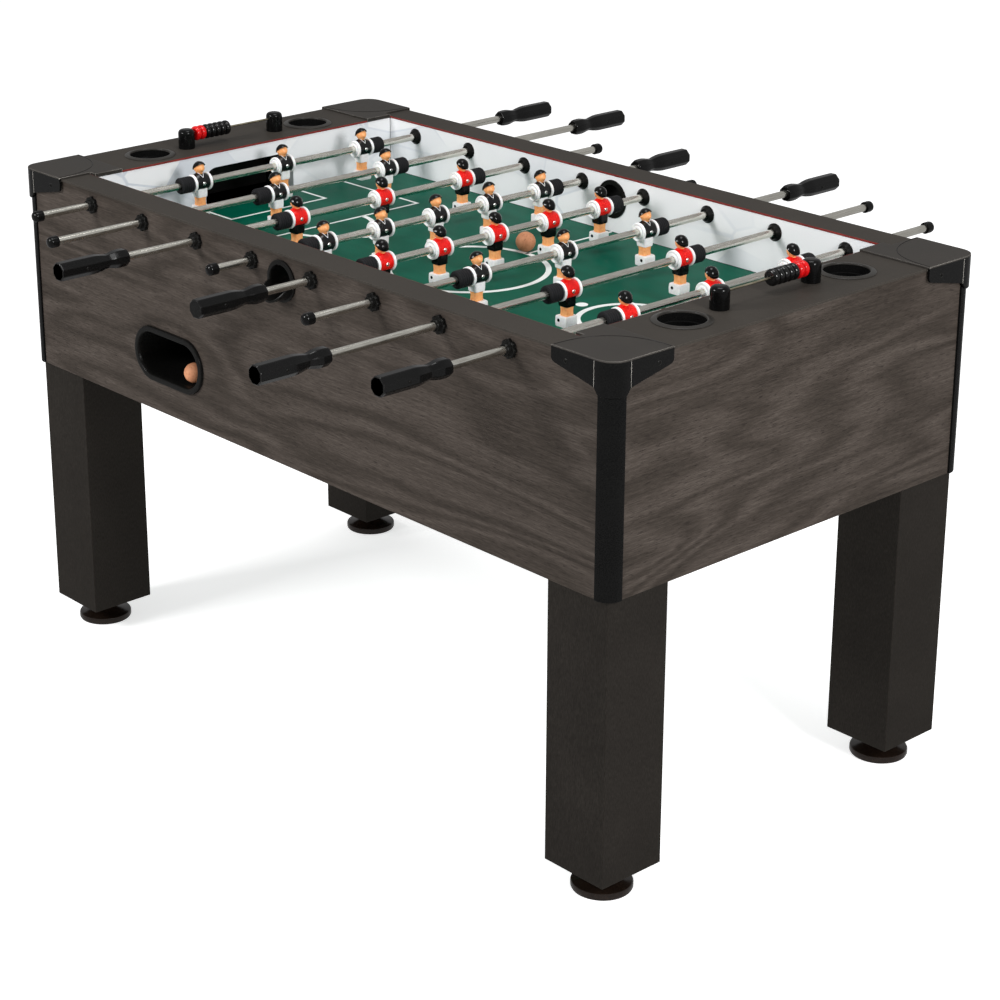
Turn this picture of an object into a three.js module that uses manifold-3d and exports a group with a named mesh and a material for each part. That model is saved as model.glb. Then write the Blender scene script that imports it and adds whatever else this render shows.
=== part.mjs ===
// Foosball table: cabinet on four legs, eight player rods, scorers, cup holders, ball returns.
// Millimetres, +Z up. Origin on the floor under the middle of the table, +X towards the red goal.
import * as THREE from 'three';
import { mergeVertices } from 'three/addons/utils/BufferGeometryUtils.js';
import Module from 'manifold-3d';

const wasm = await Module();
wasm.setup();

// driving dimensions
const cabinetLength = 1455;
const cabinetWidth = 790;
const cabinetBottom = 503;
const deckTop = 858;
const deckThickness = 3.7;
const wellWidth = 672;
const rodPitch = 149;
const rodHeight = 831;
const playfieldTop = 754;
const playfieldThickness = 12;
const gap = 0.3;

// boards
const sideSetBack = 3;
const endPanelThickness = 25;
const goalWallThickness = 16;
const postSize = 28;
const postRadius = 25;

// legs and feet
const legSize = 122;
const legInset = 11;
const legBottom = 42.5;
const footRadius = 47.5;
const footDisc = 13;
const footShoulder = 22;
const stemRadius = 8;
const stemDepth = 32;
const stemClearance = 1;

// corner guards
const guardSize = 120;
const guardOverhang = 4;
const guardRise = 3.5;
const guardWall = 3.4;
const guardSkirt = 50;
const guardSkirtReach = 28;
const guardStepSkirt = 39;
const guardStepReach = 36;
const guardTipSkirt = 22.5;
const guardTipRound = 7;
const cornerSteps = 6;

// rods and what is on them
const rodRadius = 6.35;
const rodBore = 7.2;
const bearingRadius = 15;
const bearingOut = 12;
const bearingIn = 7;
const bumperRadius = 14.5;
const bumperLength = 25;
const bumperGap = 0.4;
const strokeSpare = 0.6;
const handleLength = 128;
const handleStop = 560;
const capStop = 431;
const rodCapRadius = 9.5;
const rodCapLength = 18;
const rodCapRound = 3;
const boreDepth = 96;

// grip from its free end to the end by the table: [share of its length, radius]
const gripProfile = [
  [0, 12.8],
  [0.03, 15.4],
  [0.5, 15.8],
  [0.69, 11.8],
  [0.84, 15.2],
  [0.97, 14.8],
  [1, 12],
];

// players
const playerWidth = 38;
const playerDisc = 16;
const headRise = 25.5;
const headRadius = 11.5;
const neckHalf = 6;
const hipDepth = 12;
const kneeDepth = 9;
const legHalf = 9;
const bootDrop = 39;
const soleDrop = 58;
const bootAnkle = 9;
const bootToe = 16;
const bootHeel = 13;
const bootHalf = 14.5;

// goals, serving holes, ball returns
const goalWidth = 200;
const goalHeight = 74;
const goalCorner = 24;
const servingHeight = 813;
const servingInner = 26;
const servingOuter = 30;
const servingFlange = 34;
const servingLip = 26;
const flangeThickness = 4;
const returnAlong = 313;
const returnHeight = 605;
const returnWidth = 168;
const returnOpening = 74;
const returnRim = 11;
const returnDepth = 115;
const returnWall = 3;
const rimOut = 6;
const chuteWidth = 46;
const chuteWall = 4;
const chuteSide = 24;
const chuteRise = 8;
const chuteSlope = 0.26;
const crossSlope = 0.1;
const chuteOverlap = 40;
const chuteClear = 12;

// deck fittings
const cupAlong = 652;
const cupAcross = 180;
const cupInner = 36;
const cupFlange = 45;
const cupDepth = 58;
const cupWall = 2;
const cupTaper = 4;
const cupRimHeight = 3;
const scorerAlong = 650;
const scorerSpan = 200;
const scorerPostRadius = 15;
const scorerPostHeight = 35;
const scorerPostRound = 8;
const scorerWireHeight = 24;
const scorerWireRadius = 1.8;
const beadRadius = 13;
const beadPitch = 11;
const beadCount = 7;
const beadWaist = 0.7;
const beadBore = 2.8;
const ballRadius = 17.2;
const ballPlace = [-11, 140];

// cutting tools run this far past the faces they cut
const past = 1;

// worked out from the driving dimensions
const halfLength = cabinetLength / 2;
const halfWidth = cabinetWidth / 2;
const halfWell = wellWidth / 2;
const deckBottom = deckTop - deckThickness;
const panelTop = deckBottom - gap;
const goalPlane = rodPitch * 4;
const sideFace = halfWidth - sideSetBack;
const sideReach = halfLength - postSize - gap;
const endFace = halfLength - sideSetBack;
const legCentre = legInset + legSize / 2;
const guardEdge = halfLength + guardOverhang - guardSize;
const guardSideEdge = halfWidth + guardOverhang - guardSize;

const formations = {
  goal: { count: 3, spacing: 185 },
  defence: { count: 2, spacing: 249 },
  attack: { count: 3, spacing: 186 },
  midfield: { count: 5, spacing: 120.5 },
};

// rods from the red goal to the black goal; offset is where the team stands along its rod
const rods = [
  { formation: 'goal', team: 'red', offset: 22 },
  { formation: 'defence', team: 'red', offset: -11 },
  { formation: 'attack', team: 'black', offset: 1 },
  { formation: 'midfield', team: 'red', offset: -10 },
  { formation: 'midfield', team: 'black', offset: -7 },
  { formation: 'attack', team: 'red', offset: 0 },
  { formation: 'defence', team: 'black', offset: 11 },
  { formation: 'goal', team: 'black', offset: 18 },
];

// materials, one per finish
const finish = (color, roughness, metalness = 0) =>
  new THREE.MeshStandardMaterial({ color, roughness, metalness });
const finishes = {
  woodLaminate: finish(0x4c433f, 0.62),
  deckLaminate: finish(0x3b3735, 0.55),
  whiteLaminate: finish(0xe6e7ec, 0.45),
  playfieldGreen: finish(0x12523f, 0.5),
  blackPlastic: finish(0x141313, 0.3),
  legBlack: finish(0x242221, 0.55),
  chrome: finish(0xb9b7b0, 0.22, 1),
  bumperRubber: finish(0x161616, 0.8),
  cork: finish(0xc08457, 0.75),
};

// joins and cuts
function toSolid(geometry) {
  const bare = geometry.clone();
  bare.deleteAttribute('normal');
  bare.deleteAttribute('uv');
  const merged = mergeVertices(bare, 1e-4);
  const position = merged.getAttribute('position');
  const index = merged.index.array;
  const corner = [new THREE.Vector3(), new THREE.Vector3(), new THREE.Vector3()];
  let volume = 0;
  const kept = [];
  for (let i = 0; i < index.length; i += 3) {
    const a = index[i];
    const b = index[i + 1];
    const c = index[i + 2];
    if (a === b || b === c || c === a) continue;
    [a, b, c].forEach((v, k) => corner[k].fromBufferAttribute(position, v));
    volume += corner[0].dot(corner[1].clone().cross(corner[2]));
    kept.push(a, b, c);
  }
  if (volume < 0) kept.reverse();
  return new wasm.Manifold(
    new wasm.Mesh({
      numProp: 3,
      vertProperties: new Float32Array(position.array),
      triVerts: new Uint32Array(kept),
    }),
  );
}

function fromSolid(solid) {
  const mesh = solid.getMesh();
  const geometry = new THREE.BufferGeometry();
  geometry.setAttribute('position', new THREE.BufferAttribute(mesh.vertProperties, 3));
  geometry.setIndex(new THREE.BufferAttribute(mesh.triVerts, 1));
  geometry.computeVertexNormals();
  return geometry;
}

function join(pieces) {
  return fromSolid(pieces.map(toSolid).reduce((whole, piece) => whole.add(piece)));
}

function cut(body, tools) {
  return fromSolid(tools.map(toSolid).reduce((left, tool) => left.subtract(tool), toSolid(body)));
}

// basic shapes, each given by its limits in the table's frame
function block([x0, x1], [y0, y1], [z0, z1]) {
  const box = new THREE.BoxGeometry(x1 - x0, y1 - y0, z1 - z0);
  return box.translate((x0 + x1) / 2, (y0 + y1) / 2, (z0 + z1) / 2);
}

function rodBar(radius, y0, y1, sides = 10) {
  const bar = new THREE.CylinderGeometry(radius, radius, y1 - y0, sides);
  return bar.translate(0, (y0 + y1) / 2, 0);
}

// a turned piece about Z; the profile is a list of [radius, height]
function turned(profile, sides) {
  const points = profile.map(([r, z]) => new THREE.Vector2(r, z));
  return new THREE.LatheGeometry(points, sides).rotateX(Math.PI / 2);
}

// a turned piece about Y; the profile is a list of [radius, distance along Y]
function turnedAlongRod(profile, sides) {
  const points = profile.map(([r, y]) => new THREE.Vector2(r, y));
  return new THREE.LatheGeometry(points, sides);
}

// an outline in X and Y, raised from z0 to z1
function raised(shape, z0, z1, curveSegments = 8) {
  const solid = new THREE.ExtrudeGeometry(shape, { depth: z1 - z0, bevelEnabled: false, curveSegments });
  return solid.translate(0, 0, z0);
}

// an outline in X and Z, drawn out from y0 to y1
function drawnAcross(shape, y0, y1, curveSegments = 8) {
  const solid = new THREE.ExtrudeGeometry(shape, { depth: y1 - y0, bevelEnabled: false, curveSegments });
  return solid.rotateX(Math.PI / 2).translate(0, y1, 0);
}

// an outline in Y and Z, drawn out from x0 to x1
function drawnAlong(shape, x0, x1, curveSegments = 8) {
  const solid = new THREE.ExtrudeGeometry(shape, { depth: x1 - x0, bevelEnabled: false, curveSegments });
  return solid.rotateX(Math.PI / 2).rotateZ(Math.PI / 2).translate(x0, 0, 0);
}

function polygon(points) {
  return new THREE.Shape(points.map(([x, y]) => new THREE.Vector2(x, y)));
}

function roundedBox(cx, cy, width, height, radius) {
  const shape = new THREE.Shape();
  const x0 = cx - width / 2;
  const x1 = cx + width / 2;
  const y0 = cy - height / 2;
  const y1 = cy + height / 2;
  shape.moveTo(x0 + radius, y0);
  shape.lineTo(x1 - radius, y0);
  shape.absarc(x1 - radius, y0 + radius, radius, -Math.PI / 2, 0);
  shape.lineTo(x1, y1 - radius);
  shape.absarc(x1 - radius, y1 - radius, radius, 0, Math.PI / 2);
  shape.lineTo(x0 + radius, y1);
  shape.absarc(x0 + radius, y1 - radius, radius, Math.PI / 2, Math.PI);
  shape.lineTo(x0, y0 + radius);
  shape.absarc(x0 + radius, y0 + radius, radius, Math.PI, Math.PI * 1.5);
  return shape;
}

const table = new THREE.Group();

function add(name, geometry, material, turn = 0) {
  const mesh = new THREE.Mesh(geometry, material);
  mesh.name = name;
  mesh.rotation.z = turn;
  table.add(mesh);
  return mesh;
}

// the far and left pieces are the near and right ones turned half round
const sides = [
  ['near', 0],
  ['far', Math.PI],
];
const ends = [
  ['right', 0],
  ['left', Math.PI],
];

const rodPlace = (number) => (4.5 - number) * rodPitch;

// cabinet side with its eight rod bearings pressed in
function sidePanel() {
  const board = block([-sideReach, sideReach], [-sideFace, -halfWell], [cabinetBottom, panelTop]);
  const places = rods.map((_, k) => rodPlace(k + 1));
  const bearings = places.map((x) =>
    rodBar(bearingRadius, -sideFace - bearingOut, -halfWell + bearingIn).translate(x, 0, rodHeight),
  );
  const bores = places.map((x) =>
    rodBar(rodBore, -sideFace - 2 * bearingOut, -halfWell + 2 * bearingIn).translate(x, 0, rodHeight),
  );
  const serving = rodBar(servingOuter + past, -halfWidth, -halfWell + past, 16);
  const opening = roundedBox(
    -returnAlong,
    returnHeight,
    returnWidth + 2 * (returnWall + gap),
    returnOpening + 2 * (returnWall + gap),
    returnOpening / 2 + returnWall,
  );
  const window = drawnAcross(opening, -halfWidth, -halfWell + past, 5);
  return cut(join([board, ...bearings]), [...bores, serving.translate(0, 0, servingHeight), window]);
}

function endPanel() {
  const reach = halfWidth - postSize - gap;
  return block([endFace - endPanelThickness, endFace], [-reach, reach], [cabinetBottom, panelTop]);
}

function goalWall() {
  const wall = block(
    [goalPlane, goalPlane + goalWallThickness],
    [-halfWell + gap, halfWell - gap],
    [playfieldTop + gap, panelTop],
  );
  const mouth = new THREE.Shape();
  const reach = goalWidth / 2;
  const top = playfieldTop + goalHeight;
  mouth.moveTo(-reach, playfieldTop - past);
  mouth.lineTo(reach, playfieldTop - past);
  mouth.lineTo(reach, top - goalCorner);
  mouth.absarc(reach - goalCorner, top - goalCorner, goalCorner, 0, Math.PI / 2);
  mouth.lineTo(goalCorner - reach, top);
  mouth.absarc(goalCorner - reach, top - goalCorner, goalCorner, Math.PI / 2, Math.PI);
  return cut(wall, [drawnAlong(mouth, goalPlane - past, goalPlane + goalWallThickness + past)]);
}

function playfield() {
  const reach = goalPlane + goalWallThickness;
  const across = halfWell - gap;
  return block([-reach, reach], [-across, across], [playfieldTop - playfieldThickness, playfieldTop]);
}

// rail along the top of a side, between the corner guards
function topRail() {
  const reach = guardEdge - gap;
  return block([-reach, reach], [-halfWidth + 1, -halfWell + 0.5], [deckBottom, deckTop]);
}

function endDeck() {
  const reach = guardSideEdge - gap;
  const board = block([goalPlane - 1, endFace + 2], [-reach, reach], [deckBottom, deckTop]);
  const radius = cupInner + cupWall + gap;
  const hole = new THREE.CylinderGeometry(radius, radius, 4 * deckThickness, 20);
  hole.rotateX(Math.PI / 2).translate(cupAlong, 0, deckTop);
  return cut(board, [-1, 1].map((s) => hole.clone().translate(0, s * cupAcross, 0)));
}

// plan of the +X +Y corner from its inner edges out, with the outer corner rounded
function cornerPlan([innerX, outX], [innerY, outY], radius) {
  const points = [
    [innerX, innerY],
    [outX, innerY],
  ];
  for (let k = 0; k <= cornerSteps; k++) {
    const angle = (k / cornerSteps) * (Math.PI / 2);
    points.push([outX - radius * (1 - Math.cos(angle)), outY - radius * (1 - Math.sin(angle))]);
  }
  points.push([innerX, outY]);
  return polygon(points);
}

// what is cut away under a skirt that starts at the given edge: deep at the corner, shallow at the tip
function underSkirt(edge) {
  const corner = edge + guardSize;
  return polygon([
    [edge - past, deckTop - guardTipSkirt + guardTipRound],
    [edge + guardTipRound, deckTop - guardTipSkirt],
    [corner - guardStepReach, deckTop - guardStepSkirt],
    [corner - guardSkirtReach, deckTop - guardSkirt],
    [corner - guardSkirtReach, 0],
    [edge - past, 0],
  ]);
}

// corner guard at +X +Y: raised top plate, skirts tapering along both faces, and the post below
function cornerGuard() {
  const top = deckTop + guardRise;
  const plan = (inset) =>
    cornerPlan(
      [guardEdge, halfLength + guardOverhang - inset],
      [guardSideEdge, halfWidth + guardOverhang - inset],
      postRadius + guardOverhang - inset,
    );
  const plate = raised(plan(0), deckBottom, top);
  const skirt = cut(raised(plan(0), deckTop - guardSkirt, top), [
    raised(plan(guardWall), deckTop - guardSkirt - past, top + past),
    drawnAcross(underSkirt(guardEdge), 0, cabinetWidth),
    drawnAlong(underSkirt(guardSideEdge), 0, cabinetLength),
  ]);
  const postPlan = cornerPlan(
    [halfLength - postSize, halfLength],
    [halfWidth - postSize, halfWidth],
    postRadius,
  );
  const tab = block(
    [goalPlane - 1, guardEdge + past],
    [guardSideEdge, halfWell - 0.5 - gap],
    [deckBottom, top],
  );
  return join([plate, tab, skirt, raised(postPlan, cabinetBottom, deckBottom + past)]);
}

function leg(sx, sy) {
  const outX = halfLength - legInset;
  const outY = halfWidth - legInset;
  const span = (s, out) => (s > 0 ? [out - legSize, out] : [-out, legSize - out]);
  const body = block(span(sx, outX), span(sy, outY), [legBottom, cabinetBottom - gap]);
  const radius = stemRadius + stemClearance;
  const bore = new THREE.CylinderGeometry(radius, radius, 2 * (stemDepth + stemClearance), 12);
  bore.rotateX(Math.PI / 2);
  bore.translate(sx * (halfLength - legCentre), sy * (halfWidth - legCentre), legBottom);
  return cut(body, [bore]);
}

function levelingFoot() {
  const profile = [
    [0, 0],
    [footRadius - 2, 0],
    [footRadius, 3],
    [footRadius, footDisc - 2],
    [footRadius * 0.45, footShoulder],
    [stemRadius, footShoulder + 2],
    [stemRadius, legBottom + stemDepth],
    [0, legBottom + stemDepth],
  ];
  return turned(profile, 16);
}

// a player stands upright about the rod's axis, facing +X
function player() {
  const torso = rodBar(playerDisc, -playerWidth / 2, playerWidth / 2, 8);
  const neck = block([-neckHalf, neckHalf], [-neckHalf, neckHalf], [0, headRise]);
  const head = new THREE.SphereGeometry(headRadius, 8, 4).rotateX(Math.PI / 2).translate(0, 0, headRise);
  const legShape = polygon([
    [-hipDepth, 0],
    [hipDepth, 0],
    [kneeDepth, -bootDrop - past],
    [-kneeDepth, -bootDrop - past],
  ]);
  const bootShape = polygon([
    [-bootAnkle, -bootDrop],
    [bootAnkle, -bootDrop],
    [bootToe, -soleDrop],
    [-bootHeel, -soleDrop],
  ]);
  const legs = drawnAcross(legShape, -legHalf, legHalf);
  const boots = drawnAcross(bootShape, -bootHalf, bootHalf);
  return join([torso, neck, head, legs, boots]);
}

// how far a team can slide each way before its bumper meets the bearing
function strokeOf({ count, spacing }) {
  const reach = ((count - 1) / 2) * spacing + playerWidth / 2 + bumperGap + bumperLength;
  return halfWell - bearingIn - reach - strokeSpare;
}

const playerShape = player();

// rod with its team, end cap and one bumper, as if its handle were at -Y
function playerRod({ formation, offset }, facing) {
  const line = formations[formation];
  const stroke = strokeOf(line);
  const group = ((line.count - 1) / 2) * line.spacing;
  const handleFront = offset - stroke - handleStop + handleLength;
  const capEnd = offset + stroke + capStop;
  const tube = rodBar(rodRadius, handleFront - boreDepth, capEnd - rodCapRound);
  const team = Array.from({ length: line.count }, (_, k) =>
    playerShape.clone().rotateZ(facing).translate(0, offset - group + k * line.spacing, 0),
  );
  const outer = offset + group + playerWidth / 2;
  const bumper = rodBar(bumperRadius, outer - past, outer + bumperGap + bumperLength);
  const capProfile = [
    [0, capEnd - rodCapLength],
    [rodCapRadius, capEnd - rodCapLength],
    [rodCapRadius, capEnd - rodCapRound],
    [rodCapRadius - rodCapRound, capEnd],
    [0, capEnd],
  ];
  return join([tube, ...team, bumper, turnedAlongRod(capProfile, 10)]);
}

function handle({ formation, offset }) {
  const end = offset - strokeOf(formations[formation]) - handleStop;
  const front = end + handleLength;
  const outline = gripProfile.map(([share, radius]) => [radius, end + share * handleLength]);
  const grip = turnedAlongRod([[0, end], ...outline, [0, front]], 8).rotateY(Math.PI / 8);
  return cut(grip, [rodBar(rodBore, front - boreDepth - past, front + past)]);
}

function looseBumper({ formation, offset }) {
  const line = formations[formation];
  const inner = offset - ((line.count - 1) / 2) * line.spacing - playerWidth / 2 - bumperGap;
  const hole = rodBar(rodBore, inner - bumperLength - past, inner + past);
  return cut(rodBar(bumperRadius, inner - bumperLength, inner), [hole]);
}

// ball-return bowl behind its rim, with the chute that brings balls down from the goal box
function ballReturn() {
  const face = -sideFace;
  const back = -halfWidth + returnDepth;
  const outline = (grow) =>
    roundedBox(
      -returnAlong,
      returnHeight,
      returnWidth + 2 * grow,
      returnOpening + 2 * grow,
      returnOpening / 2 + grow - 0.01,
    );
  const rim = drawnAcross(outline(returnRim), face - rimOut, face - gap, 5);
  const bowl = drawnAcross(outline(returnWall), face - 2, back, 5);
  const hollow = drawnAcross(outline(0), face - 2 * rimOut, back - returnWall, 5);
  // the chute climbs from the bowl to the bend, then runs across behind the goal
  const bend = -(halfLength - postSize - chuteClear);
  const crossInner = -(goalPlane + goalWallThickness + chuteWall);
  const bowlSide = -returnAlong - chuteOverlap;
  const start = -halfWell + 2;
  const end = start + chuteWidth;
  const crossEnd = goalWidth / 2 + 10;
  const lowest = returnHeight - returnOpening / 2 + chuteRise;
  const climb = (x) => lowest + (-x - returnAlong) * chuteSlope;
  const slab = (from, to, heightAt, low, high) =>
    polygon([
      [from, heightAt(from) + low],
      [to, heightAt(to) + low],
      [to, heightAt(to) + high],
      [from, heightAt(from) + high],
    ]);
  const across = (y) => climb(bend) + (y - start) * crossSlope;
  const ramp = drawnAcross(slab(bowlSide, bend, climb, -chuteWall, chuteSide), start, end);
  const rampChannel = slab(bowlSide, bend, climb, 0, chuteSide + chuteOverlap);
  const cross = drawnAlong(slab(start, crossEnd, across, -chuteWall, chuteSide), bend, crossInner);
  const crossChannel = slab(start + chuteWall, crossEnd - chuteWall, across, 0, chuteSide + chuteOverlap);
  return cut(join([rim, bowl, ramp, cross]), [
    hollow,
    drawnAcross(rampChannel, start + chuteWall, end - chuteWall),
    drawnAlong(crossChannel, bend + chuteWall, crossInner - chuteWall),
  ]);
}

function cupHolder() {
  const rim = deckTop + gap;
  const floor = deckTop - cupDepth;
  const profile = [
    [0, floor - cupWall],
    [cupInner - cupTaper, floor - cupWall],
    [cupInner + cupWall, floor + cupTaper],
    [cupInner + cupWall, rim],
    [cupFlange, rim],
    [cupInner + cupWall, rim + cupRimHeight],
    [cupInner, rim + 1],
    [cupInner - cupTaper, floor],
    [0, floor],
  ];
  return turned(profile, 20);
}

// serving cup through the side: flanges on both faces and a scoop lip outside
function servingCup() {
  const outer = -sideFace - flangeThickness;
  const inner = -halfWell + flangeThickness;
  const sleeve = rodBar(servingOuter, outer, inner, 16);
  const outerFlange = rodBar(servingFlange, outer, -sideFace - gap, 16);
  const innerFlange = rodBar(servingFlange, -halfWell + gap, inner, 16);
  const tip = outer - servingLip;
  const ring = rodBar(servingOuter + 2, tip, outer + past, 16);
  const wide = 2 * servingFlange;
  const above = block([-wide, wide], [tip - past, outer - gap], [-8, wide]);
  const bore = rodBar(servingInner, tip - past, inner + past, 16);
  const cup = cut(join([sleeve, outerFlange, innerFlange, cut(ring, [above])]), [bore]);
  return cup.translate(0, 0, servingHeight);
}

function scorerBracket() {
  const base = deckTop + gap;
  const top = base + scorerPostHeight;
  const shoulder = [0, 1, 2, 3].map((k) => {
    const angle = (k / 3) * (Math.PI / 2);
    return [
      scorerPostRadius - scorerPostRound * (1 - Math.cos(angle)),
      top - scorerPostRound * (1 - Math.sin(angle)),
    ];
  });
  const post = turned([[0, base], [scorerPostRadius, base], ...shoulder, [0, top]], 16);
  const posts = [-1, 1].map((s) => post.clone().translate(scorerAlong, s * scorerSpan / 2, 0));
  const wire = rodBar(scorerWireRadius, -scorerSpan / 2, scorerSpan / 2, 8);
  return join([...posts, wire.translate(scorerAlong, 0, deckTop + scorerWireHeight)]);
}

// counting beads pushed against the far post of the bracket
function scorerBeads() {
  const start = scorerSpan / 2 - scorerPostRadius - past - beadCount * beadPitch;
  const end = start + beadCount * beadPitch;
  const profile = [[beadBore, start]];
  for (let k = 0; k < beadCount; k++) {
    const y = start + k * beadPitch;
    profile.push([beadRadius * beadWaist, y]);
    profile.push([beadRadius, y + 0.3 * beadPitch]);
    profile.push([beadRadius, y + 0.7 * beadPitch]);
  }
  profile.push([beadRadius * beadWaist, end]);
  profile.push([beadBore, end]);
  profile.push([beadBore, start]);
  return turnedAlongRod(profile, 8).translate(scorerAlong, 0, deckTop + scorerWireHeight);
}

for (const [name, turn] of sides) {
  add(`${name}_side_panel`, sidePanel(), finishes.woodLaminate, turn);
  add(`${name}_top_rail`, topRail(), finishes.deckLaminate, turn);
  add(`${name}_ball_return`, ballReturn(), finishes.blackPlastic, turn);
  add(`${name}_serving_cup`, servingCup(), finishes.blackPlastic, turn);
}

for (const [name, turn] of ends) {
  add(`${name}_end_panel`, endPanel(), finishes.woodLaminate, turn);
  add(`${name}_goal_wall`, goalWall(), finishes.whiteLaminate, turn);
  add(`${name}_end_deck`, endDeck(), finishes.deckLaminate, turn);
  add(`${name}_scorer_bracket`, scorerBracket(), finishes.blackPlastic, turn);
  add(`${name}_scorer_beads`, scorerBeads(), finishes.blackPlastic, turn);
}

add('playfield', playfield(), finishes.playfieldGreen);

const alongSigns = Object.entries({ left: -1, right: 1 });
const acrossSigns = Object.entries({ near: -1, far: 1 });
for (const [endName, sx] of alongSigns) {
  for (const [sideName, sy] of acrossSigns) {
    const corner = `${sideName}_${endName}`;
    const guard = join([cornerGuard().scale(sx, sy, 1)]);
    add(`corner_guard_${corner}`, guard, finishes.blackPlastic);
    add(`leg_${corner}`, leg(sx, sy), finishes.legBlack);
    const foot = add(`leveling_foot_${corner}`, levelingFoot(), finishes.blackPlastic);
    foot.position.set(sx * (halfLength - legCentre), sy * (halfWidth - legCentre), 0);
    const cup = add(`cup_holder_${corner}`, cupHolder(), finishes.blackPlastic);
    cup.position.set(sx * cupAlong, sy * cupAcross, 0);
  }
}

rods.forEach((rod, k) => {
  const number = k + 1;
  const isRed = rod.team === 'red';
  // black rods are red rods turned half round, so their handles are on the far side
  const turn = isRed ? 0 : Math.PI;
  const own = { formation: rod.formation, offset: isRed ? rod.offset : -rod.offset };
  const place = (mesh) => mesh.position.set(rodPlace(number), 0, rodHeight);
  place(add(`rod_${number}_${rod.team}_${rod.formation}`, playerRod(own, Math.PI), finishes.chrome, turn));
  place(add(`rod_${number}_handle`, handle(own), finishes.blackPlastic, turn));
  place(add(`rod_${number}_bumper`, looseBumper(own), finishes.bumperRubber, turn));
});

const ball = add('ball', new THREE.IcosahedronGeometry(ballRadius, 2), finishes.cork);
ball.position.set(ballPlace[0], ballPlace[1], playfieldTop + gap + ballRadius);

export default table;
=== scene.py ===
import math

import bmesh
import bpy
from mathutils import Euler, Matrix, Vector


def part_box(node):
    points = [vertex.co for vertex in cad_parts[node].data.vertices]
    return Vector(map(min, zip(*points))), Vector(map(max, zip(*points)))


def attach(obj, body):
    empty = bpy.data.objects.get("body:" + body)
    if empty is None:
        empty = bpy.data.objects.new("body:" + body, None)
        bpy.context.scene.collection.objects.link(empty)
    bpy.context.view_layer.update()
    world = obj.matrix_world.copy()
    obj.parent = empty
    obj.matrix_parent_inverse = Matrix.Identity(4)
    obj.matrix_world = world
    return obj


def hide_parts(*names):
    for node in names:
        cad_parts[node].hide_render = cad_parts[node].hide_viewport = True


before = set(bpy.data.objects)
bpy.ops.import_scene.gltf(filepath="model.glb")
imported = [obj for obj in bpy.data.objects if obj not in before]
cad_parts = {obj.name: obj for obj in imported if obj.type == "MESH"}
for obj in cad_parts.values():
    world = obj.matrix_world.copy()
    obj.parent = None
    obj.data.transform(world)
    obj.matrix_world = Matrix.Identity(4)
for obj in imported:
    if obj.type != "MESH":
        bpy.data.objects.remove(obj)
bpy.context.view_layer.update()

mm = 0.001
gap = 0.3    # clearance between parts that meet, in millimetres

# what several pieces share, in millimetres like every size below
table = {"halfLength": 727.5, "halfWidth": 395.0, "bottom": 503.0, "deckTop": 858.0, "deckThickness": 3.7,
    "halfWell": 336.0, "sideFace": 392.0, "endFace": 724.5, "sideReach": 699.2, "lining": 6.0,
    "goalPlane": 596.0, "goalWall": 16.0, "fieldTop": 754.0, "rodHeight": 831.0, "rodPitch": 149.0,
    "guardSize": 120.0, "guardOverhang": 4.0, "guardRise": 3.5,}
sides = {"near": False, "far": True}    # the far side is the near one turned half round
ends = {"right": False, "left": True}


# camera, lights and floor

def newObject(name, data):
    made = bpy.data.objects.new(name, data)
    bpy.context.scene.collection.objects.link(made)
    return made


def evaluatedMesh(holder):
    return bpy.data.meshes.new_from_object(holder.evaluated_get(bpy.context.evaluated_depsgraph_get()))


view = {"lens": 90.3, "sensor": 36.0, "shift": (0.0677, -0.0933), "place": (2.9738, -2.6822, 1.9498),
    "turn": (70.229, 0.0, 48.838), "roll": -0.31,}
cameraData = bpy.data.cameras.new("studioCamera")
cameraData.lens = view["lens"]
cameraData.sensor_width = view["sensor"]
cameraData.shift_x, cameraData.shift_y = view["shift"]
cameraData.clip_end = 100
camera = newObject("studioCamera", cameraData)
aim = Euler([math.radians(a) for a in view["turn"]]).to_matrix()
aim = aim @ Matrix.Rotation(math.radians(view["roll"]), 3, "Z")
camera.matrix_world = Matrix.LocRotScale(Vector(view["place"]), aim, None)
bpy.context.scene.camera = camera
bpy.context.scene.view_settings.view_transform = "Standard"

studio = {
    "sky": 0.4, "skyColour": (1.0, 1.0, 1.0),
    "lamps": [   # place, size and power of each soft box, all aimed at the cabinet
        ((-1.2, -3.6, 2.6), 1.1, 105), ((3.9, -0.4, 2.5), 1.1, 108), ((0.3, 0.2, 4.4), 1.8, 62),
    ],
    "aim": (0, 0, 0.6), "floorSize": 120, "floorTone": 0.9, "floorGlow": 0.62,
}


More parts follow.
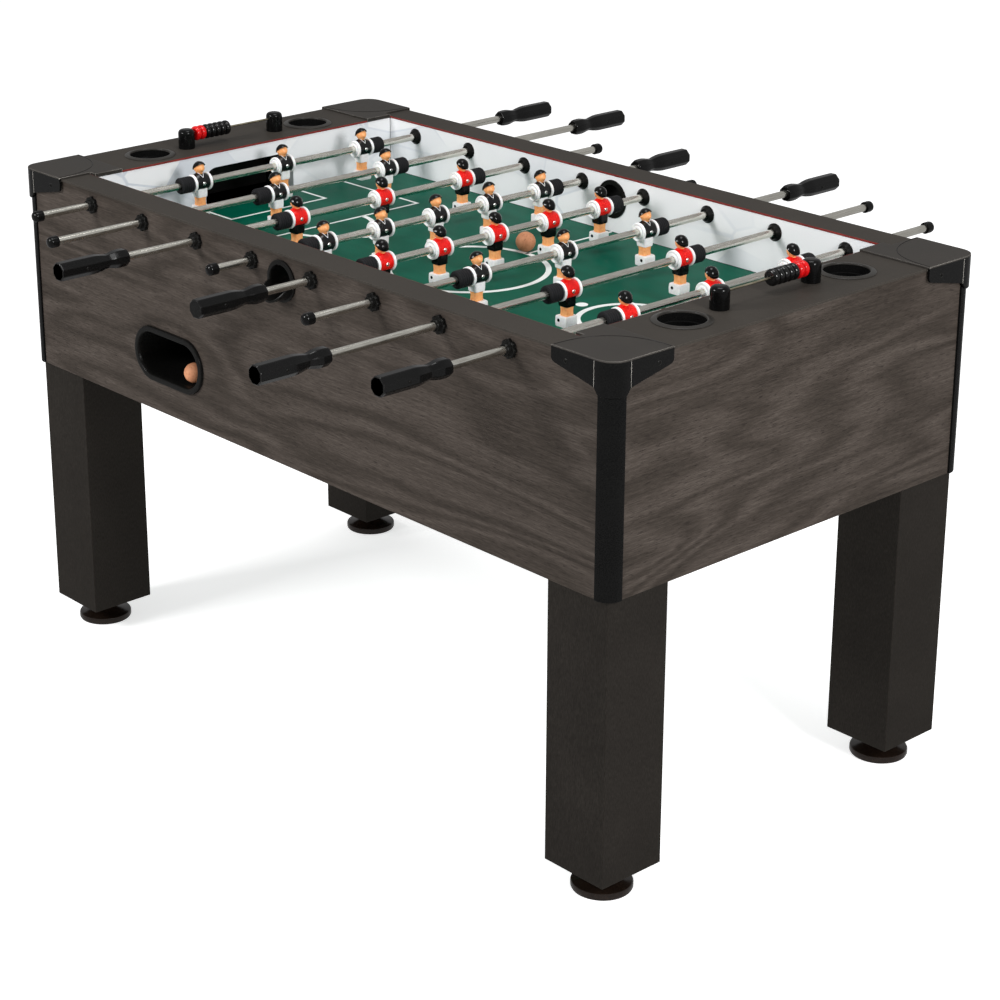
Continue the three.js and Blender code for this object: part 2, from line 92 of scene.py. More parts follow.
def buildStudio():
    world = bpy.data.worlds.new("studio")
    world.use_nodes = True
    sky = world.node_tree.nodes["Background"]
    sky.inputs["Color"].default_value = (*studio["skyColour"], 1)
    sky.inputs["Strength"].default_value = studio["sky"]
    bpy.context.scene.world = world
    for k, (place, size, power) in enumerate(studio["lamps"]):
        lamp = bpy.data.lights.new(f"softBox{k}", "AREA")
        lamp.size, lamp.energy = size, power
        holder = newObject(f"softBox{k}", lamp)
        holder.location = place
        toward = Vector(studio["aim"]) - Vector(place)
        holder.rotation_euler = toward.to_track_quat("-Z", "Y").to_euler()
    reach = studio["floorSize"] / 2
    mesh = bpy.data.meshes.new("floor")
    mesh.from_pydata([(-reach, -reach, 0), (reach, -reach, 0), (reach, reach, 0), (-reach, reach, 0)], [],
        [(0, 1, 2, 3)])
    floor = newObject("floor", mesh)
    pale = bpy.data.materials.new("paleFloor")
    pale.use_nodes = True
    shader = pale.node_tree.nodes["Principled BSDF"]
    shader.inputs["Base Color"].default_value = (*[studio["floorTone"]] * 3, 1)
    shader.inputs["Roughness"].default_value = 0.9
    shader.inputs["Specular IOR Level"].default_value = 0.0
    shader.inputs["Emission Color"].default_value = (1, 1, 1, 1)
    shader.inputs["Emission Strength"].default_value = studio["floorGlow"]
    mesh.materials.append(pale)
    floor.visible_glossy = False


buildStudio()
print("studio ready")


# shapes are lists of points and faces in millimetres until a piece is placed

def newShape():
    return {"points": [], "faces": []}


def addPart(shape, points, faces):
    start = len(shape["points"])
    shape["points"].extend(Vector(p) for p in points)
    shape["faces"].extend([start + i for i in face] for face in faces)
    return shape


def addBox(shape, low, high):
    (x0, y0, z0), (x1, y1, z1) = low, high
    points = [(x, y, z) for z in (z0, z1) for y in (y0, y1) for x in (x0, x1)]
    faces = [(0, 2, 3, 1), (4, 5, 7, 6), (0, 1, 5, 4), (2, 6, 7, 3), (0, 4, 6, 2), (1, 3, 7, 5)]
    return addPart(shape, points, faces)


def addLoft(shape, rings, closed=False):
    # rings of equal length, capped at both ends unless the loft closes on itself
    count = len(rings[0])
    points = [p for ring in rings for p in ring]
    faces = []
    for k in range(len(rings) if closed else len(rings) - 1):
        here, there = k * count, (k + 1) % len(rings) * count
        for i in range(count):
            j = (i + 1) % count
            faces.append((here + i, here + j, there + j, there + i))
    if not closed:
        faces.append(tuple(range(count))[::-1])
        faces.append(tuple(range(len(points) - count, len(points))))
    return addPart(shape, points, faces)


def onAxis(axis, r, h, angle, centre):
    a, b = r * math.cos(angle), r * math.sin(angle)
    place = {"X": (h, a, b), "Y": (a, h, b), "Z": (a, b, h)}[axis]
    return Vector(place) + Vector(centre)


def addTurned(shape, profile, axis="Z", centre=(0, 0, 0), sides=32, closed=False):
    # profile is a list of (radius, height); a radius of 0 is a pole
    start = len(shape["points"])
    rings = []
    for r, h in profile:
        count = sides if r > 0.0001 else 1
        first = len(shape["points"]) - start
        for k in range(count):
            shape["points"].append(onAxis(axis, r, h, math.tau * k / sides, centre))
        rings.append([first + k for k in range(count)])
    pairs = list(zip(rings, rings[1:] + rings[:1]))
    for a, b in pairs if closed else pairs[:-1]:
        for k in range(sides):
            j = (k + 1) % sides
            corners = [a[k % len(a)], a[j % len(a)], b[j % len(b)], b[k % len(b)]]
            face = list(dict.fromkeys(corners))
            if len(face) > 2:
                shape["faces"].append([start + i for i in face])
    return shape


def addTube(shape, path, radius, sides=10):
    path = [Vector(p) for p in path]
    rings = []
    side = None
    for k, p in enumerate(path):
        along = (path[min(k + 1, len(path) - 1)] - path[max(k - 1, 0)]).normalized()
        if side is None:
            side = along.orthogonal().normalized()
        side = (side - along * side.dot(along)).normalized()
        up = along.cross(side)
        rings.append([p + radius * (math.cos(a) * side + math.sin(a) * up) for a in [math.tau * i / sides
            for i in range(sides)]])
    return addLoft(shape, rings)


def addPlate(shape, outlines, low, high, plane="XY", roundEdge=0.6, steps=1):
    # a flat curve filled between its outlines, with eased edges; the first outline is the outer one
    curve = bpy.data.curves.new("plate", "CURVE")
    curve.dimensions = "2D"
    curve.fill_mode = "BOTH"
    for outline in outlines:
        spline = curve.splines.new("POLY")
        spline.points.add(len(outline) - 1)
        for point, (u, v) in zip(spline.points, outline):
            point.co = (u, v, 0, 1)
        spline.use_cyclic_u = True
    curve.extrude = (high - low) / 2 - roundEdge
    curve.bevel_depth = roundEdge
    curve.bevel_resolution = steps
    curve.offset = -roundEdge
    holder = newObject("plate", curve)
    flat = evaluatedMesh(holder)
    middle = (low + high) / 2
    points = []
    for v in flat.vertices:
        u, w, d = v.co
        d += middle
        points.append({"XY": (u, w, d), "XZ": (u, d, w), "YZ": (d, u, w)}[plane])
    addPart(shape, points, [list(p.vertices) for p in flat.polygons])
    bpy.data.objects.remove(holder)
    bpy.data.curves.remove(curve)
    bpy.data.meshes.remove(flat)
    return shape


def circle(cx, cy, radius, count=36):
    return [(cx + radius * math.cos(math.tau * k / count), cy + radius * math.sin(math.tau * k / count))
        for k in range(count)]


def roundedRect(cx, cy, width, height, radius, perCorner=6):
    points = []
    for k, (sx, sy) in enumerate([(1, -1), (1, 1), (-1, 1), (-1, -1)]):
        x, y = cx + sx * (width / 2 - radius), cy + sy * (height / 2 - radius)
        for i in range(perCorner + 1):
            a = math.pi / 2 * (k - 1 + i / perCorner)
            points.append((x + radius * math.cos(a), y + radius * math.sin(a)))
    return points


def shapeMesh(name, shape):
    mesh = bpy.data.meshes.new(name)
    mesh.from_pydata([p * mm for p in shape["points"]], [], shape["faces"])
    work = bmesh.new()
    work.from_mesh(mesh)
    bmesh.ops.remove_doubles(work, verts=work.verts, dist=0.002 * mm)
    bmesh.ops.dissolve_degenerate(work, edges=work.edges, dist=0.001 * mm)
    bmesh.ops.recalc_face_normals(work, faces=work.faces)
    work.to_mesh(mesh)
    work.free()
    return mesh


def finished(name, mesh, roundEdge=0, steps=2, smooth=40, subdivide=0):
    # bevels, subdivides and shades a mesh, and gives back a plain one
    mesh.shade_smooth()
    if subdivide == 0:
        mesh.set_sharp_from_angle(angle=math.radians(smooth))
    holder = newObject(name, mesh)
    if roundEdge:
        bevel = holder.modifiers.new("ease", "BEVEL")
        bevel.width, bevel.segments = roundEdge * mm, steps
        bevel.limit_method, bevel.angle_limit = "ANGLE", math.radians(35)
        bevel.use_clamp_overlap = True
    if subdivide:
        smoother = holder.modifiers.new("smooth", "SUBSURF")
        smoother.levels = smoother.render_levels = subdivide
    else:
        even = holder.modifiers.new("even", "WEIGHTED_NORMAL")
        even.keep_sharp = not roundEdge
    done = evaluatedMesh(holder)
    bpy.data.objects.remove(holder)
    done.name = name
    return done


def placeMesh(name, mesh, body, finish, stands=()):
    mesh.materials.clear()
    mesh.materials.append(finishes[finish])
    piece = newObject(name, mesh)
    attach(piece, body)
    if stands:
        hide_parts(*stands)
    return piece


def placePiece(name, shape, body, finish, slot, stands=(), turned=False, move=(0, 0, 0), **ease):
    # turned sets the shape half round about the table's middle before it is moved
    if turned or any(move):
        flip = -1 if turned else 1
        shape = {"points": [Vector((flip * p.x, flip * p.y, p.z)) + Vector(move)
            for p in shape["points"]], "faces": shape["faces"]}
    mesh = finished(name, shapeMesh(name, shape), **ease)
    return placeMesh(name, mesh, body, finish, stands)


# node trees that repeat a shape

def newTree(name, sockets):
    tree = bpy.data.node_groups.new(name, "GeometryNodeTree")
    tree.interface.new_socket(name="Points", in_out="INPUT", socket_type="NodeSocketGeometry")
    for label, kind in sockets:
        tree.interface.new_socket(name=label, in_out="INPUT", socket_type=kind)
    tree.interface.new_socket(name="Mesh", in_out="OUTPUT", socket_type="NodeSocketGeometry")
    return tree, tree.nodes.new("NodeGroupInput"), tree.nodes.new("NodeGroupOutput")


def endTree(tree, given, result, points, turn):
    # copies the piece to the points, makes the copies real and gives them their finish
    nodes, links = tree.nodes, tree.links
    info = nodes.new("GeometryNodeObjectInfo")
    links.new(given.outputs["Copy"], info.inputs["Object"])
    copies = nodes.new("GeometryNodeInstanceOnPoints")
    links.new(points, copies.inputs["Points"])
    links.new(info.outputs["Geometry"], copies.inputs["Instance"])
    rotation = nodes.new("FunctionNodeEulerToRotation")
    links.new(turn, rotation.inputs["Euler"])
    links.new(rotation.outputs["Rotation"], copies.inputs["Rotation"])
    real = nodes.new("GeometryNodeRealizeInstances")
    links.new(copies.outputs["Instances"], real.inputs["Geometry"])
    paint = nodes.new("GeometryNodeSetMaterial")
    links.new(real.outputs["Geometry"], paint.inputs["Geometry"])
    links.new(given.outputs["Finish"], paint.inputs["Material"])
    links.new(paint.outputs["Geometry"], result.inputs["Mesh"])
    return tree


def rowTree():
    tree, given, result = newTree("copiesInARow", [("Copy", "NodeSocketObject"),
        ("Count", "NodeSocketInt"), ("First", "NodeSocketVector"), ("Step", "NodeSocketVector"),
        ("Turn", "NodeSocketVector"), ("Finish", "NodeSocketMaterial")])
    line = tree.nodes.new("GeometryNodeMeshLine")
    line.mode = "OFFSET"
    tree.links.new(given.outputs["Count"], line.inputs["Count"])
    tree.links.new(given.outputs["First"], line.inputs["Start Location"])
    tree.links.new(given.outputs["Step"], line.inputs["Offset"])
    return endTree(tree, given, result, line.outputs["Mesh"], given.outputs["Turn"])


def spotTree():
    tree, given, result = newTree("copiesOnSpots", [("Copy", "NodeSocketObject"),
        ("Finish", "NodeSocketMaterial")])
    turn = tree.nodes.new("GeometryNodeInputNamedAttribute")
    turn.data_type = "FLOAT_VECTOR"
    turn.inputs["Name"].default_value = "turn"
    return endTree(tree, given, result, given.outputs["Points"], turn.outputs["Attribute"])


rowOfCopies, copiesOnSpots = rowTree(), spotTree()


def runTree(tree, values, points=None):
    mesh = points or bpy.data.meshes.new("points")
    holder = newObject("points", mesh)
    modifier = holder.modifiers.new("copies", "NODES")
    modifier.node_group = tree
    sockets = {item.name: item.identifier for item in tree.interface.items_tree
        if item.item_type == "SOCKET" and item.in_out == "INPUT"}
    for label, value in values.items():
        modifier[sockets[label]] = value
    made = evaluatedMesh(holder)
    holder.modifiers.remove(modifier)
    bpy.data.objects.remove(holder)
    return made


def placeRow(name, copy, count, first, step, turn, body, finish, stands=()):
    made = runTree(rowOfCopies, {"Copy": copy, "Count": count, "First": tuple(v * mm for v in first),
        "Step": tuple(v * mm for v in step), "Turn": tuple(turn), "Finish": finishes[finish]})
    return placeMesh(name, made, body, finish, stands)


def placeSpots(name, copy, spots, body, finish, stands=()):
    # spots is a list of (place, turn in degrees)
    points = bpy.data.meshes.new("spots")
    points.from_pydata([Vector(place) * mm for place, _ in spots], [], [])
    turns = points.attributes.new("turn", "FLOAT_VECTOR", "POINT")
    for item, (_, turn) in zip(turns.data, spots):
        item.vector = [math.radians(a) for a in turn]
    made = runTree(copiesOnSpots, {"Copy": copy, "Finish": finishes[finish]}, points)
    return placeMesh(name, made, body, finish, stands)


masters = []


def master(name, shape, **ease):
    # a shape at the origin that the trees copy; it is removed before the end
    mesh = finished(name, shapeMesh(name, shape), **ease)
    holder = newObject(name, mesh)
    masters.append(holder)
    return holder


def carved(name, shape, tools):
    # cuts the tool shapes out of a shape and gives back the rest as points and faces
    holder = newObject(name, shapeMesh(name, shape))
    cutters = []
    for k, tool in enumerate(tools):
        cutter = newObject(f"{name}Tool{k}", shapeMesh(f"{name}Tool{k}", tool))
        cut = holder.modifiers.new(f"cut{k}", "BOOLEAN")
        cut.object, cut.operation, cut.solver = cutter, "DIFFERENCE", "EXACT"
        cutters.append(cutter)
    mesh = evaluatedMesh(holder)
    for piece in [holder, *cutters]:
        bpy.data.objects.remove(piece)
    return {"points": [v.co / mm for v in mesh.vertices], "faces": [list(p.vertices) for p in mesh.polygons]}


# finishes

def linear(rgb):
    parts = [c / 255 for c in rgb]
    return (*[c / 12.92 if c <= 0.04045 else ((c + 0.055) / 1.055) ** 2.4 for c in parts], 1)


class Nodes:
    # a thin wrapper that makes nodes and joins them in one call
    def __init__(self, name):
        self.material = bpy.data.materials.new(name)
        self.material.use_nodes = True
        self.tree = self.material.node_tree
        self.shader = self.tree.nodes["Principled BSDF"]
        self.place = self.make("ShaderNodeTexCoord").outputs["Object"]

    def make(self, kind, settings=None, **inputs):
        node = self.tree.nodes.new(kind)
        for key, value in (settings or {}).items():
            setattr(node, key, value)
        for key, value in inputs.items():
            self.feed(node, key.replace("_", " "), value)
        return node

    def feed(self, node, socket, value):
        target = node.inputs[int(socket)] if socket.isdigit() else node.inputs[socket]
        if isinstance(value, bpy.types.NodeSocket):
            self.tree.links.new(value, target)
        else:
            target.default_value = value

    def mapped(self, scale, move=(0, 0, 0)):
        return self.make("ShaderNodeMapping", Vector=self.place, Scale=scale, Location=move).outputs["Vector"]

    def noise(self, vector, scale, detail=4, roughness=0.55, distortion=0):
        return self.make("ShaderNodeTexNoise", Vector=vector, Scale=scale, Detail=detail,
            Roughness=roughness, Distortion=distortion).outputs["Fac"]

    def ramp(self, value, stops):
        node = self.make("ShaderNodeValToRGB", Fac=value)
        elements = node.color_ramp.elements
        while len(elements) < len(stops):
            elements.new(0.5)
        for element, (at, tone) in zip(elements, stops):
            element.position = at
            element.color = tone
        return node.outputs["Color"]

    def mask(self, value, low, high, to=(0, 1)):
        return self.make("ShaderNodeMapRange", {"clamp": True}, Value=value, From_Min=low, From_Max=high,
            To_Min=to[0], To_Max=to[1]).outputs["Result"]

    def math(self, operation, a, b=0.0):
        node = self.make("ShaderNodeMath", {"operation": operation})
        self.feed(node, "0", a)
        self.feed(node, "1", b)
        return node.outputs[0]

    def mix(self, factor, a, b, blend="MIX"):
        node = self.make("ShaderNodeMix", {"data_type": "RGBA", "blend_type": blend})
        self.feed(node, "0", factor)
        self.feed(node, "6", a)
        self.feed(node, "7", b)
        return node.outputs[2]

    def edges(self, radius, low=0.02, high=0.25):
        # 1 along the piece's edges: where an eased normal leaves the true one
        eased = self.make("ShaderNodeBevel", {"samples": 4}, Radius=radius * mm).outputs["Normal"]
        true = self.make("ShaderNodeNewGeometry").outputs["Normal"]
        dot = self.make("ShaderNodeVectorMath", {"operation": "DOT_PRODUCT"})
        self.feed(dot, "0", eased)
        self.feed(dot, "1", true)
        return self.mask(self.math("SUBTRACT", 1.0, dot.outputs["Value"]), low, high)

    def bump(self, height, strength, distance):
        node = self.make("ShaderNodeBump", Height=height, Strength=strength, Distance=distance * mm)
        return node.outputs["Normal"]

    def blend(self, layers, shares):
        total = self.math("MULTIPLY", layers[0], shares[0])
        for layer, share in zip(layers[1:], shares[1:]):
            total = self.math("ADD", total, self.math("MULTIPLY", layer, share))
        return total

    def finish(self, **sockets):
        for key, value in sockets.items():
            self.feed(self.shader, key.replace("_", " "), value)
        return self.material


def makeFinish(name, look):
    # moulded, coated or metal finish: fine grain, slow blotches, and lighter edges that are partly wear and
    # partly a painted highlight
    n = Nodes(name)
    cells = look["grain"] if isinstance(look["grain"], tuple) else [look["grain"]] * 3
    grain = n.noise(n.mapped(cells), 1.0, 3, 0.6)
    blotch = n.noise(n.place, look.get("blotch", 9), 3, 0.5)
    tone = n.ramp(grain, [(at, linear(look[key])) for at, key in ((0.30, "dark"), (0.5, "base"),
        (0.72, "light"))])
    shade = n.mask(blotch, 0.3, 0.7, look.get("blotchRange", (0.88, 1.1)))
    tone = n.mix(1.0, tone, n.make("ShaderNodeCombineColor", Red=shade, Green=shade, Blue=shade).outputs[
        0], "MULTIPLY")
    # edges take a lighter colour: partly wear, partly a painted highlight where an eased edge catches the
    # light
    if "edgeWearAndHighlight" in look:
        wornAndLitEdges = n.math("MULTIPLY", n.edges(look.get("edgeWearAndHighlightRadius", 0.8)), n.mask(blotch, 0.25, 0.6))
        wornAndLitEdges = n.math("MULTIPLY", wornAndLitEdges, look.get("edgeWearAndHighlightAmount", 0.35))
        tone = n.mix(wornAndLitEdges, tone, linear(look["edgeWearAndHighlight"]))
    rough = n.mask(n.math("ADD", n.math("MULTIPLY", grain, 0.5), n.math("MULTIPLY", blotch, 0.5)), 0.3,
        0.7, look["roughness"])
    normal = n.bump(grain, look["bump"][0], look["bump"][1])
    fixed = {"Metallic": look.get("metallic", 0.0), "Specular_IOR_Level": look.get("shine", 0.5)}
    if "subsurface" in look:
        fixed.update(Subsurface_Weight=look["subsurface"], Subsurface_Scale=0.002)
    return n.finish(Base_Color=tone, Roughness=rough, Normal=normal, **fixed)


# grain is cells per metre, one number or along x, y and z; bump is (strength, depth)
# the edge colour of each look is partly wear and partly a painted highlight; on deckLaminate and guardTop it
# paints the thin highlight along the eased top edges
looks = {
    "deckLaminate": {"shine": 0.08, "base": (55, 51, 47), "dark": (45, 42, 38), "light": (66, 62, 57),
        "grain": 900, "blotch": 7, "roughness": (0.5, 0.68), "bump": (0.35, 0.12), "edgeWearAndHighlight": (104, 97, 88),
        "edgeWearAndHighlightAmount": 0.5},
    "guardTop": {"shine": 0.1, "base": (50, 47, 44), "dark": (41, 38, 36), "light": (60, 57, 53),
        "grain": 700, "blotch": 12, "roughness": (0.42, 0.58), "bump": (0.5, 0.15), "edgeWearAndHighlight": (205, 200, 192),
        "edgeWearAndHighlightAmount": 1.0, "edgeWearAndHighlightRadius": 1.6},
    "legBlack": {"shine": 0.05, "base": (35, 32, 29), "dark": (28, 25, 22), "light": (43, 40, 36),
        "grain": (900, 900, 160), "blotch": 6, "roughness": (0.5, 0.68), "bump": (0.3, 0.1),
        "edgeWearAndHighlight": (72, 67, 61), "edgeWearAndHighlightAmount": 0.4},
    "cupRim": {"shine": 0.2, "base": (44, 42, 39), "dark": (36, 34, 32), "light": (53, 50, 47),
        "grain": 700, "roughness": (0.3, 0.42), "bump": (0.3, 0.1), "edgeWearAndHighlight": (120, 116, 110),
        "edgeWearAndHighlightAmount": 0.5},
    "postBlack": {"shine": 0.06, "base": (15, 15, 15), "dark": (10, 10, 10), "light": (21, 21, 20),
        "grain": 600, "roughness": (0.2, 0.34), "bump": (0.12, 0.05), "edgeWearAndHighlight": (56, 54, 52),
        "edgeWearAndHighlightAmount": 0.3},
    "glossBlack": {"shine": 0.16, "base": (11, 11, 11), "dark": (7, 7, 7), "light": (16, 16, 15),
        "grain": 500, "roughness": (0.1, 0.18), "bump": (0.08, 0.04), "edgeWearAndHighlight": (62, 60, 58)},
    "satinBlack": {"shine": 0.12, "base": (16, 16, 15), "dark": (11, 11, 10), "light": (23, 22, 22),
        "grain": 700, "roughness": (0.24, 0.38), "bump": (0.2, 0.06), "edgeWearAndHighlight": (58, 55, 52)},
    "footBlack": {"shine": 0.4, "base": (28, 20, 15), "dark": (20, 14, 10), "light": (38, 28, 22),
        "grain": 300, "roughness": (0.12, 0.24), "bump": (0.1, 0.05), "edgeWearAndHighlight": (72, 62, 54)},
    "rubber": {"shine": 0.1, "base": (30, 30, 32), "dark": (20, 20, 21), "light": (41, 41, 43),
        "grain": 1100, "roughness": (0.55, 0.75), "bump": (0.5, 0.12), "edgeWearAndHighlight": (50, 50, 49),
        "edgeWearAndHighlightAmount": 0.4},
    "handleBlack": {"shine": 0.22, "base": (12, 12, 12), "dark": (8, 8, 8), "light": (18, 18, 18),
        "grain": 800, "roughness": (0.08, 0.16), "bump": (0.1, 0.04), "edgeWearAndHighlight": (96, 94, 92),
        "edgeWearAndHighlightAmount": 0.45, "edgeWearAndHighlightRadius": 1.0},
    "handleEnd": {"shine": 0.1, "base": (62, 60, 57), "dark": (54, 52, 50), "light": (70, 68, 65),
        "grain": 900, "roughness": (0.55, 0.7), "bump": (0.3, 0.08)},
    "chrome": {"metallic": 1.0, "base": (222, 219, 209), "dark": (196, 192, 182), "light": (240, 238, 231),
        "grain": (1400, 40, 1400), "blotch": 14, "blotchRange": (0.9, 1.06), "roughness": (0.2, 0.3),
        "bump": (0.05, 0.02)},
    "steel": {"metallic": 1.0, "base": (240, 239, 236), "dark": (200, 198, 194), "light": (250, 250, 248),
        "grain": 900, "blotch": 60, "roughness": (0.2, 0.34), "bump": (0.1, 0.03)},
    "brassWire": {"metallic": 1.0, "base": (168, 160, 138), "dark": (128, 120, 98),
        "light": (206, 198, 176), "grain": (900, 60, 900), "roughness": (0.24, 0.38), "bump": (0.1, 0.03)},
    "shirtRed": {"shine": 0.4, "base": (224, 20, 16), "dark": (198, 12, 10), "light": (240, 38, 30),
        "grain": 420, "blotch": 40, "roughness": (0.18, 0.32), "bump": (0.35, 0.18)},
    "shirtBlack": {"shine": 0.4, "base": (15, 15, 16), "dark": (9, 9, 10), "light": (24, 24, 25),
        "grain": 420, "blotch": 40, "roughness": (0.16, 0.3), "bump": (0.35, 0.18)},
    "playerWhite": {"shine": 0.3, "base": (244, 244, 244), "dark": (234, 234, 235),
        "light": (250, 250, 250), "grain": 300, "blotch": 30, "blotchRange": (0.97, 1.0),
        "roughness": (0.28, 0.42), "bump": (0.12, 0.06), "subsurface": 0.05},
    "playerSkin": {"shine": 0.3, "base": (248, 172, 110), "dark": (236, 154, 92), "light": (252, 186, 126),
        "grain": 260, "blotch": 34, "blotchRange": (0.95, 1.03), "roughness": (0.32, 0.46),
        "bump": (0.12, 0.05), "subsurface": 0.08},
    "hairBlack": {"shine": 0.22, "base": (10, 10, 10), "dark": (6, 6, 6), "light": (17, 17, 17),
        "grain": (500, 500, 1500), "roughness": (0.1, 0.2), "bump": (0.25, 0.1)},
    "beadBlack": {"shine": 0.4, "base": (12, 12, 12), "dark": (8, 8, 8), "light": (19, 19, 18),
        "grain": 500, "roughness": (0.1, 0.2), "bump": (0.1, 0.05), "edgeWearAndHighlight": (60, 58, 56),
        "edgeWearAndHighlightAmount": 0.25},
    "beadRed": {"shine": 0.4, "base": (204, 12, 16), "dark": (178, 8, 12), "light": (222, 26, 26),
        "grain": 500, "roughness": (0.1, 0.2), "bump": (0.1, 0.05), "edgeWearAndHighlight": (226, 92, 88),
        "edgeWearAndHighlightAmount": 0.25},
    "edgeBand": {"shine": 0.2, "base": (128, 44, 40), "dark": (104, 34, 30), "light": (152, 58, 52),
        "grain": (40, 40, 900), "roughness": (0.45, 0.6), "bump": (0.2, 0.05)},
    "fieldWhite": {"shine": 0.2, "base": (232, 234, 232), "dark": (216, 219, 217), "light": (242, 244, 242),
        "grain": 700, "blotch": 20, "blotchRange": (0.94, 1.0), "roughness": (0.42, 0.56),
        "bump": (0.12, 0.03)},
}
finishes = {name: makeFinish(name, look) for name, look in looks.items()}

woodLook = {"tones": [(0.0, (38, 33, 30)), (0.36, (52, 46, 41)), (0.64, (65, 58, 53)),
    (1.0, (84, 77, 71))], "slow": (46, 2.2), "streak": (420, 16), "fibre": (950, 70), "pore": (620, 62),
    "figure": (7, 1.3), "bands": 21, "shares": (0.12, 0.17, 0.29, 0.42), "poreTone": (31, 26, 24),
    "poreAmount": 0.62, "roughness": (0.5, 0.66), "edgeWearAndHighlight": (118, 108, 98), "edgeWearAndHighlightAmount": 0.35,}


def makeWood(name, axis, look, shift):
    # printed laminate: straight streaks, fibres and short dark pores over faint arches, all along one axis
    n = Nodes(name)

    def layer(key, detail, roughness, move=(0, 0, 0), distortion=0.0):
        across, along = look[key]
        scale = (along, across, across) if axis == "X" else (across, along, across)
        return n.noise(n.mapped(scale, move), 1.0, detail, roughness, distortion)

    figure = layer("figure", 2, 0.45, shift, 0.3)
    arches = n.mask(n.math("SINE", n.math("MULTIPLY", figure, look["bands"] * math.pi)), -1, 1)
    fibre = layer("fibre", 3, 0.65)
    layers = arches, layer("slow", 3, 0.55, shift), layer("streak", 3, 0.6, shift), fibre
    tone = n.blend(layers, look["shares"])
    colour = n.ramp(n.mask(tone, 0.28, 0.72), [(at, linear(rgb)) for at, rgb in look["tones"]])
    pores = n.mask(layer("pore", 2, 0.5), 0.6, 0.69)
    colour = n.mix(n.math("MULTIPLY", pores, look["poreAmount"]), colour, linear(look["poreTone"]))
    # lighter eased edges: partly wear, partly a painted highlight
    colour = n.mix(n.math("MULTIPLY", n.edges(0.9), look["edgeWearAndHighlightAmount"]), colour, linear(look["edgeWearAndHighlight"]))
    rough = n.mask(fibre, 0.3, 0.7, look["roughness"])
    height = n.math("SUBTRACT", n.math("MULTIPLY", fibre, 0.5), pores)
    return n.finish(Base_Color=colour, Roughness=rough, Normal=n.bump(height, 0.3, 0.12),
        Specular_IOR_Level=0.08)


finishes["woodAlong"] = makeWood("woodAlong", "X", woodLook, (0.3, 0.7, 0.2))
finishes["woodAcross"] = makeWood("woodAcross", "Y", woodLook, (0.1, 0.4, 0.9))

fieldLook = {"green": (3, 80, 62), "deep": (1, 69, 53), "bright": (6, 92, 72), "grain": 620, "streak": 34}


def makeField():
    n = Nodes("fieldGreen")
    fine = n.noise(n.place, fieldLook["grain"], 3, 0.7)
    streak = n.noise(n.mapped((2.0, fieldLook["streak"], 1)), 1.0, 3, 0.6)
    slow = n.noise(n.place, 4.5, 2, 0.5)
    tone = n.mask(n.blend((fine, streak, slow), (0.45, 0.3, 0.25)), 0.34, 0.66)
    colour = n.ramp(tone, [(at, linear(fieldLook[key])) for at, key in ((0, "deep"), (0.5, "green"),
        (1, "bright"))])
    return n.finish(Base_Color=colour, Roughness=n.mask(fine, 0.3, 0.7, (0.3, 0.44)), Normal=n.bump(fine,
        0.2, 0.06), Specular_IOR_Level=0.03)


finishes["fieldGreen"] = makeField()

wallLook = {"white": (248, 248, 250), "tint": (208, 213, 223), "cells": 7.5, "amount": 0.8}


def makeWallPrint():
    # white laminate with a faint print of large facets
    n = Nodes("wallPrint")
    cells = n.make("ShaderNodeTexVoronoi", {"feature": "F1"}, Vector=n.mapped((1, 1.0, 1.6),
        (0.2, 0.1, 0.4)), Scale=wallLook["cells"], Randomness=1.0)
    tint = n.mask(n.make("ShaderNodeSeparateColor", Color=cells.outputs["Color"]).outputs[0], 0.35, 1.0)
    seam = n.make("ShaderNodeTexVoronoi", {"feature": "DISTANCE_TO_EDGE"}, Vector=n.mapped((1, 1.0, 1.6),
        (0.2, 0.1, 0.4)), Scale=wallLook["cells"], Randomness=1.0)
    lines = n.mask(seam.outputs["Distance"], 0.012, 0.03, (1, 0))
    fade = n.mask(n.noise(n.place, 3.2, 2, 0.5), 0.38, 0.62)
    amount = n.math("MULTIPLY", n.math("MAXIMUM", tint, lines), n.math("MULTIPLY", fade, wallLook["amount"]))
    fine = n.noise(n.place, 900, 2, 0.6)
    white = n.mix(n.mask(fine, 0.3, 0.7, (0.0, 0.06)), linear(wallLook["white"]), linear((234, 235, 238)))
    colour = n.mix(amount, white, linear(wallLook["tint"]))
    return n.finish(Base_Color=colour, Roughness=n.mask(fine, 0.3, 0.7, (0.36, 0.5)), Normal=n.bump(fine,
        0.12, 0.04))


finishes["wallPrint"] = makeWallPrint()

corkLook = {"base": (182, 118, 80), "dark": (128, 72, 44), "light": (204, 142, 104), "cells": 260}


def makeCork():
    n = Nodes("cork")
    cells = n.make("ShaderNodeTexVoronoi", {"feature": "F1"}, Vector=n.place, Scale=corkLook["cells"])
    body = n.noise(n.place, 120, 4, 0.6)
    speck = n.mask(n.noise(n.place, 330, 2, 0.6), 0.6, 0.7)
    colour = n.ramp(body, [(0.3, linear(corkLook["base"])), (0.7, linear(corkLook["light"]))])
    colour = n.mix(n.math("MULTIPLY", speck, 0.55), colour, linear(corkLook["dark"]))
    height = n.math("SUBTRACT", cells.outputs["Distance"], speck)
    return n.finish(Base_Color=colour, Roughness=n.mask(body, 0.3, 0.7, (0.6, 0.8)), Normal=n.bump(height,
        0.35, 0.3))


finishes["cork"] = makeCork()
print("finishes ready")


# fasteners and bearings that the pieces below repeat

screwShape = {"radius": 4.2, "dome": 1.5, "slotLength": 5.4, "slotWidth": 1.1, "slotDepth": 1.2}


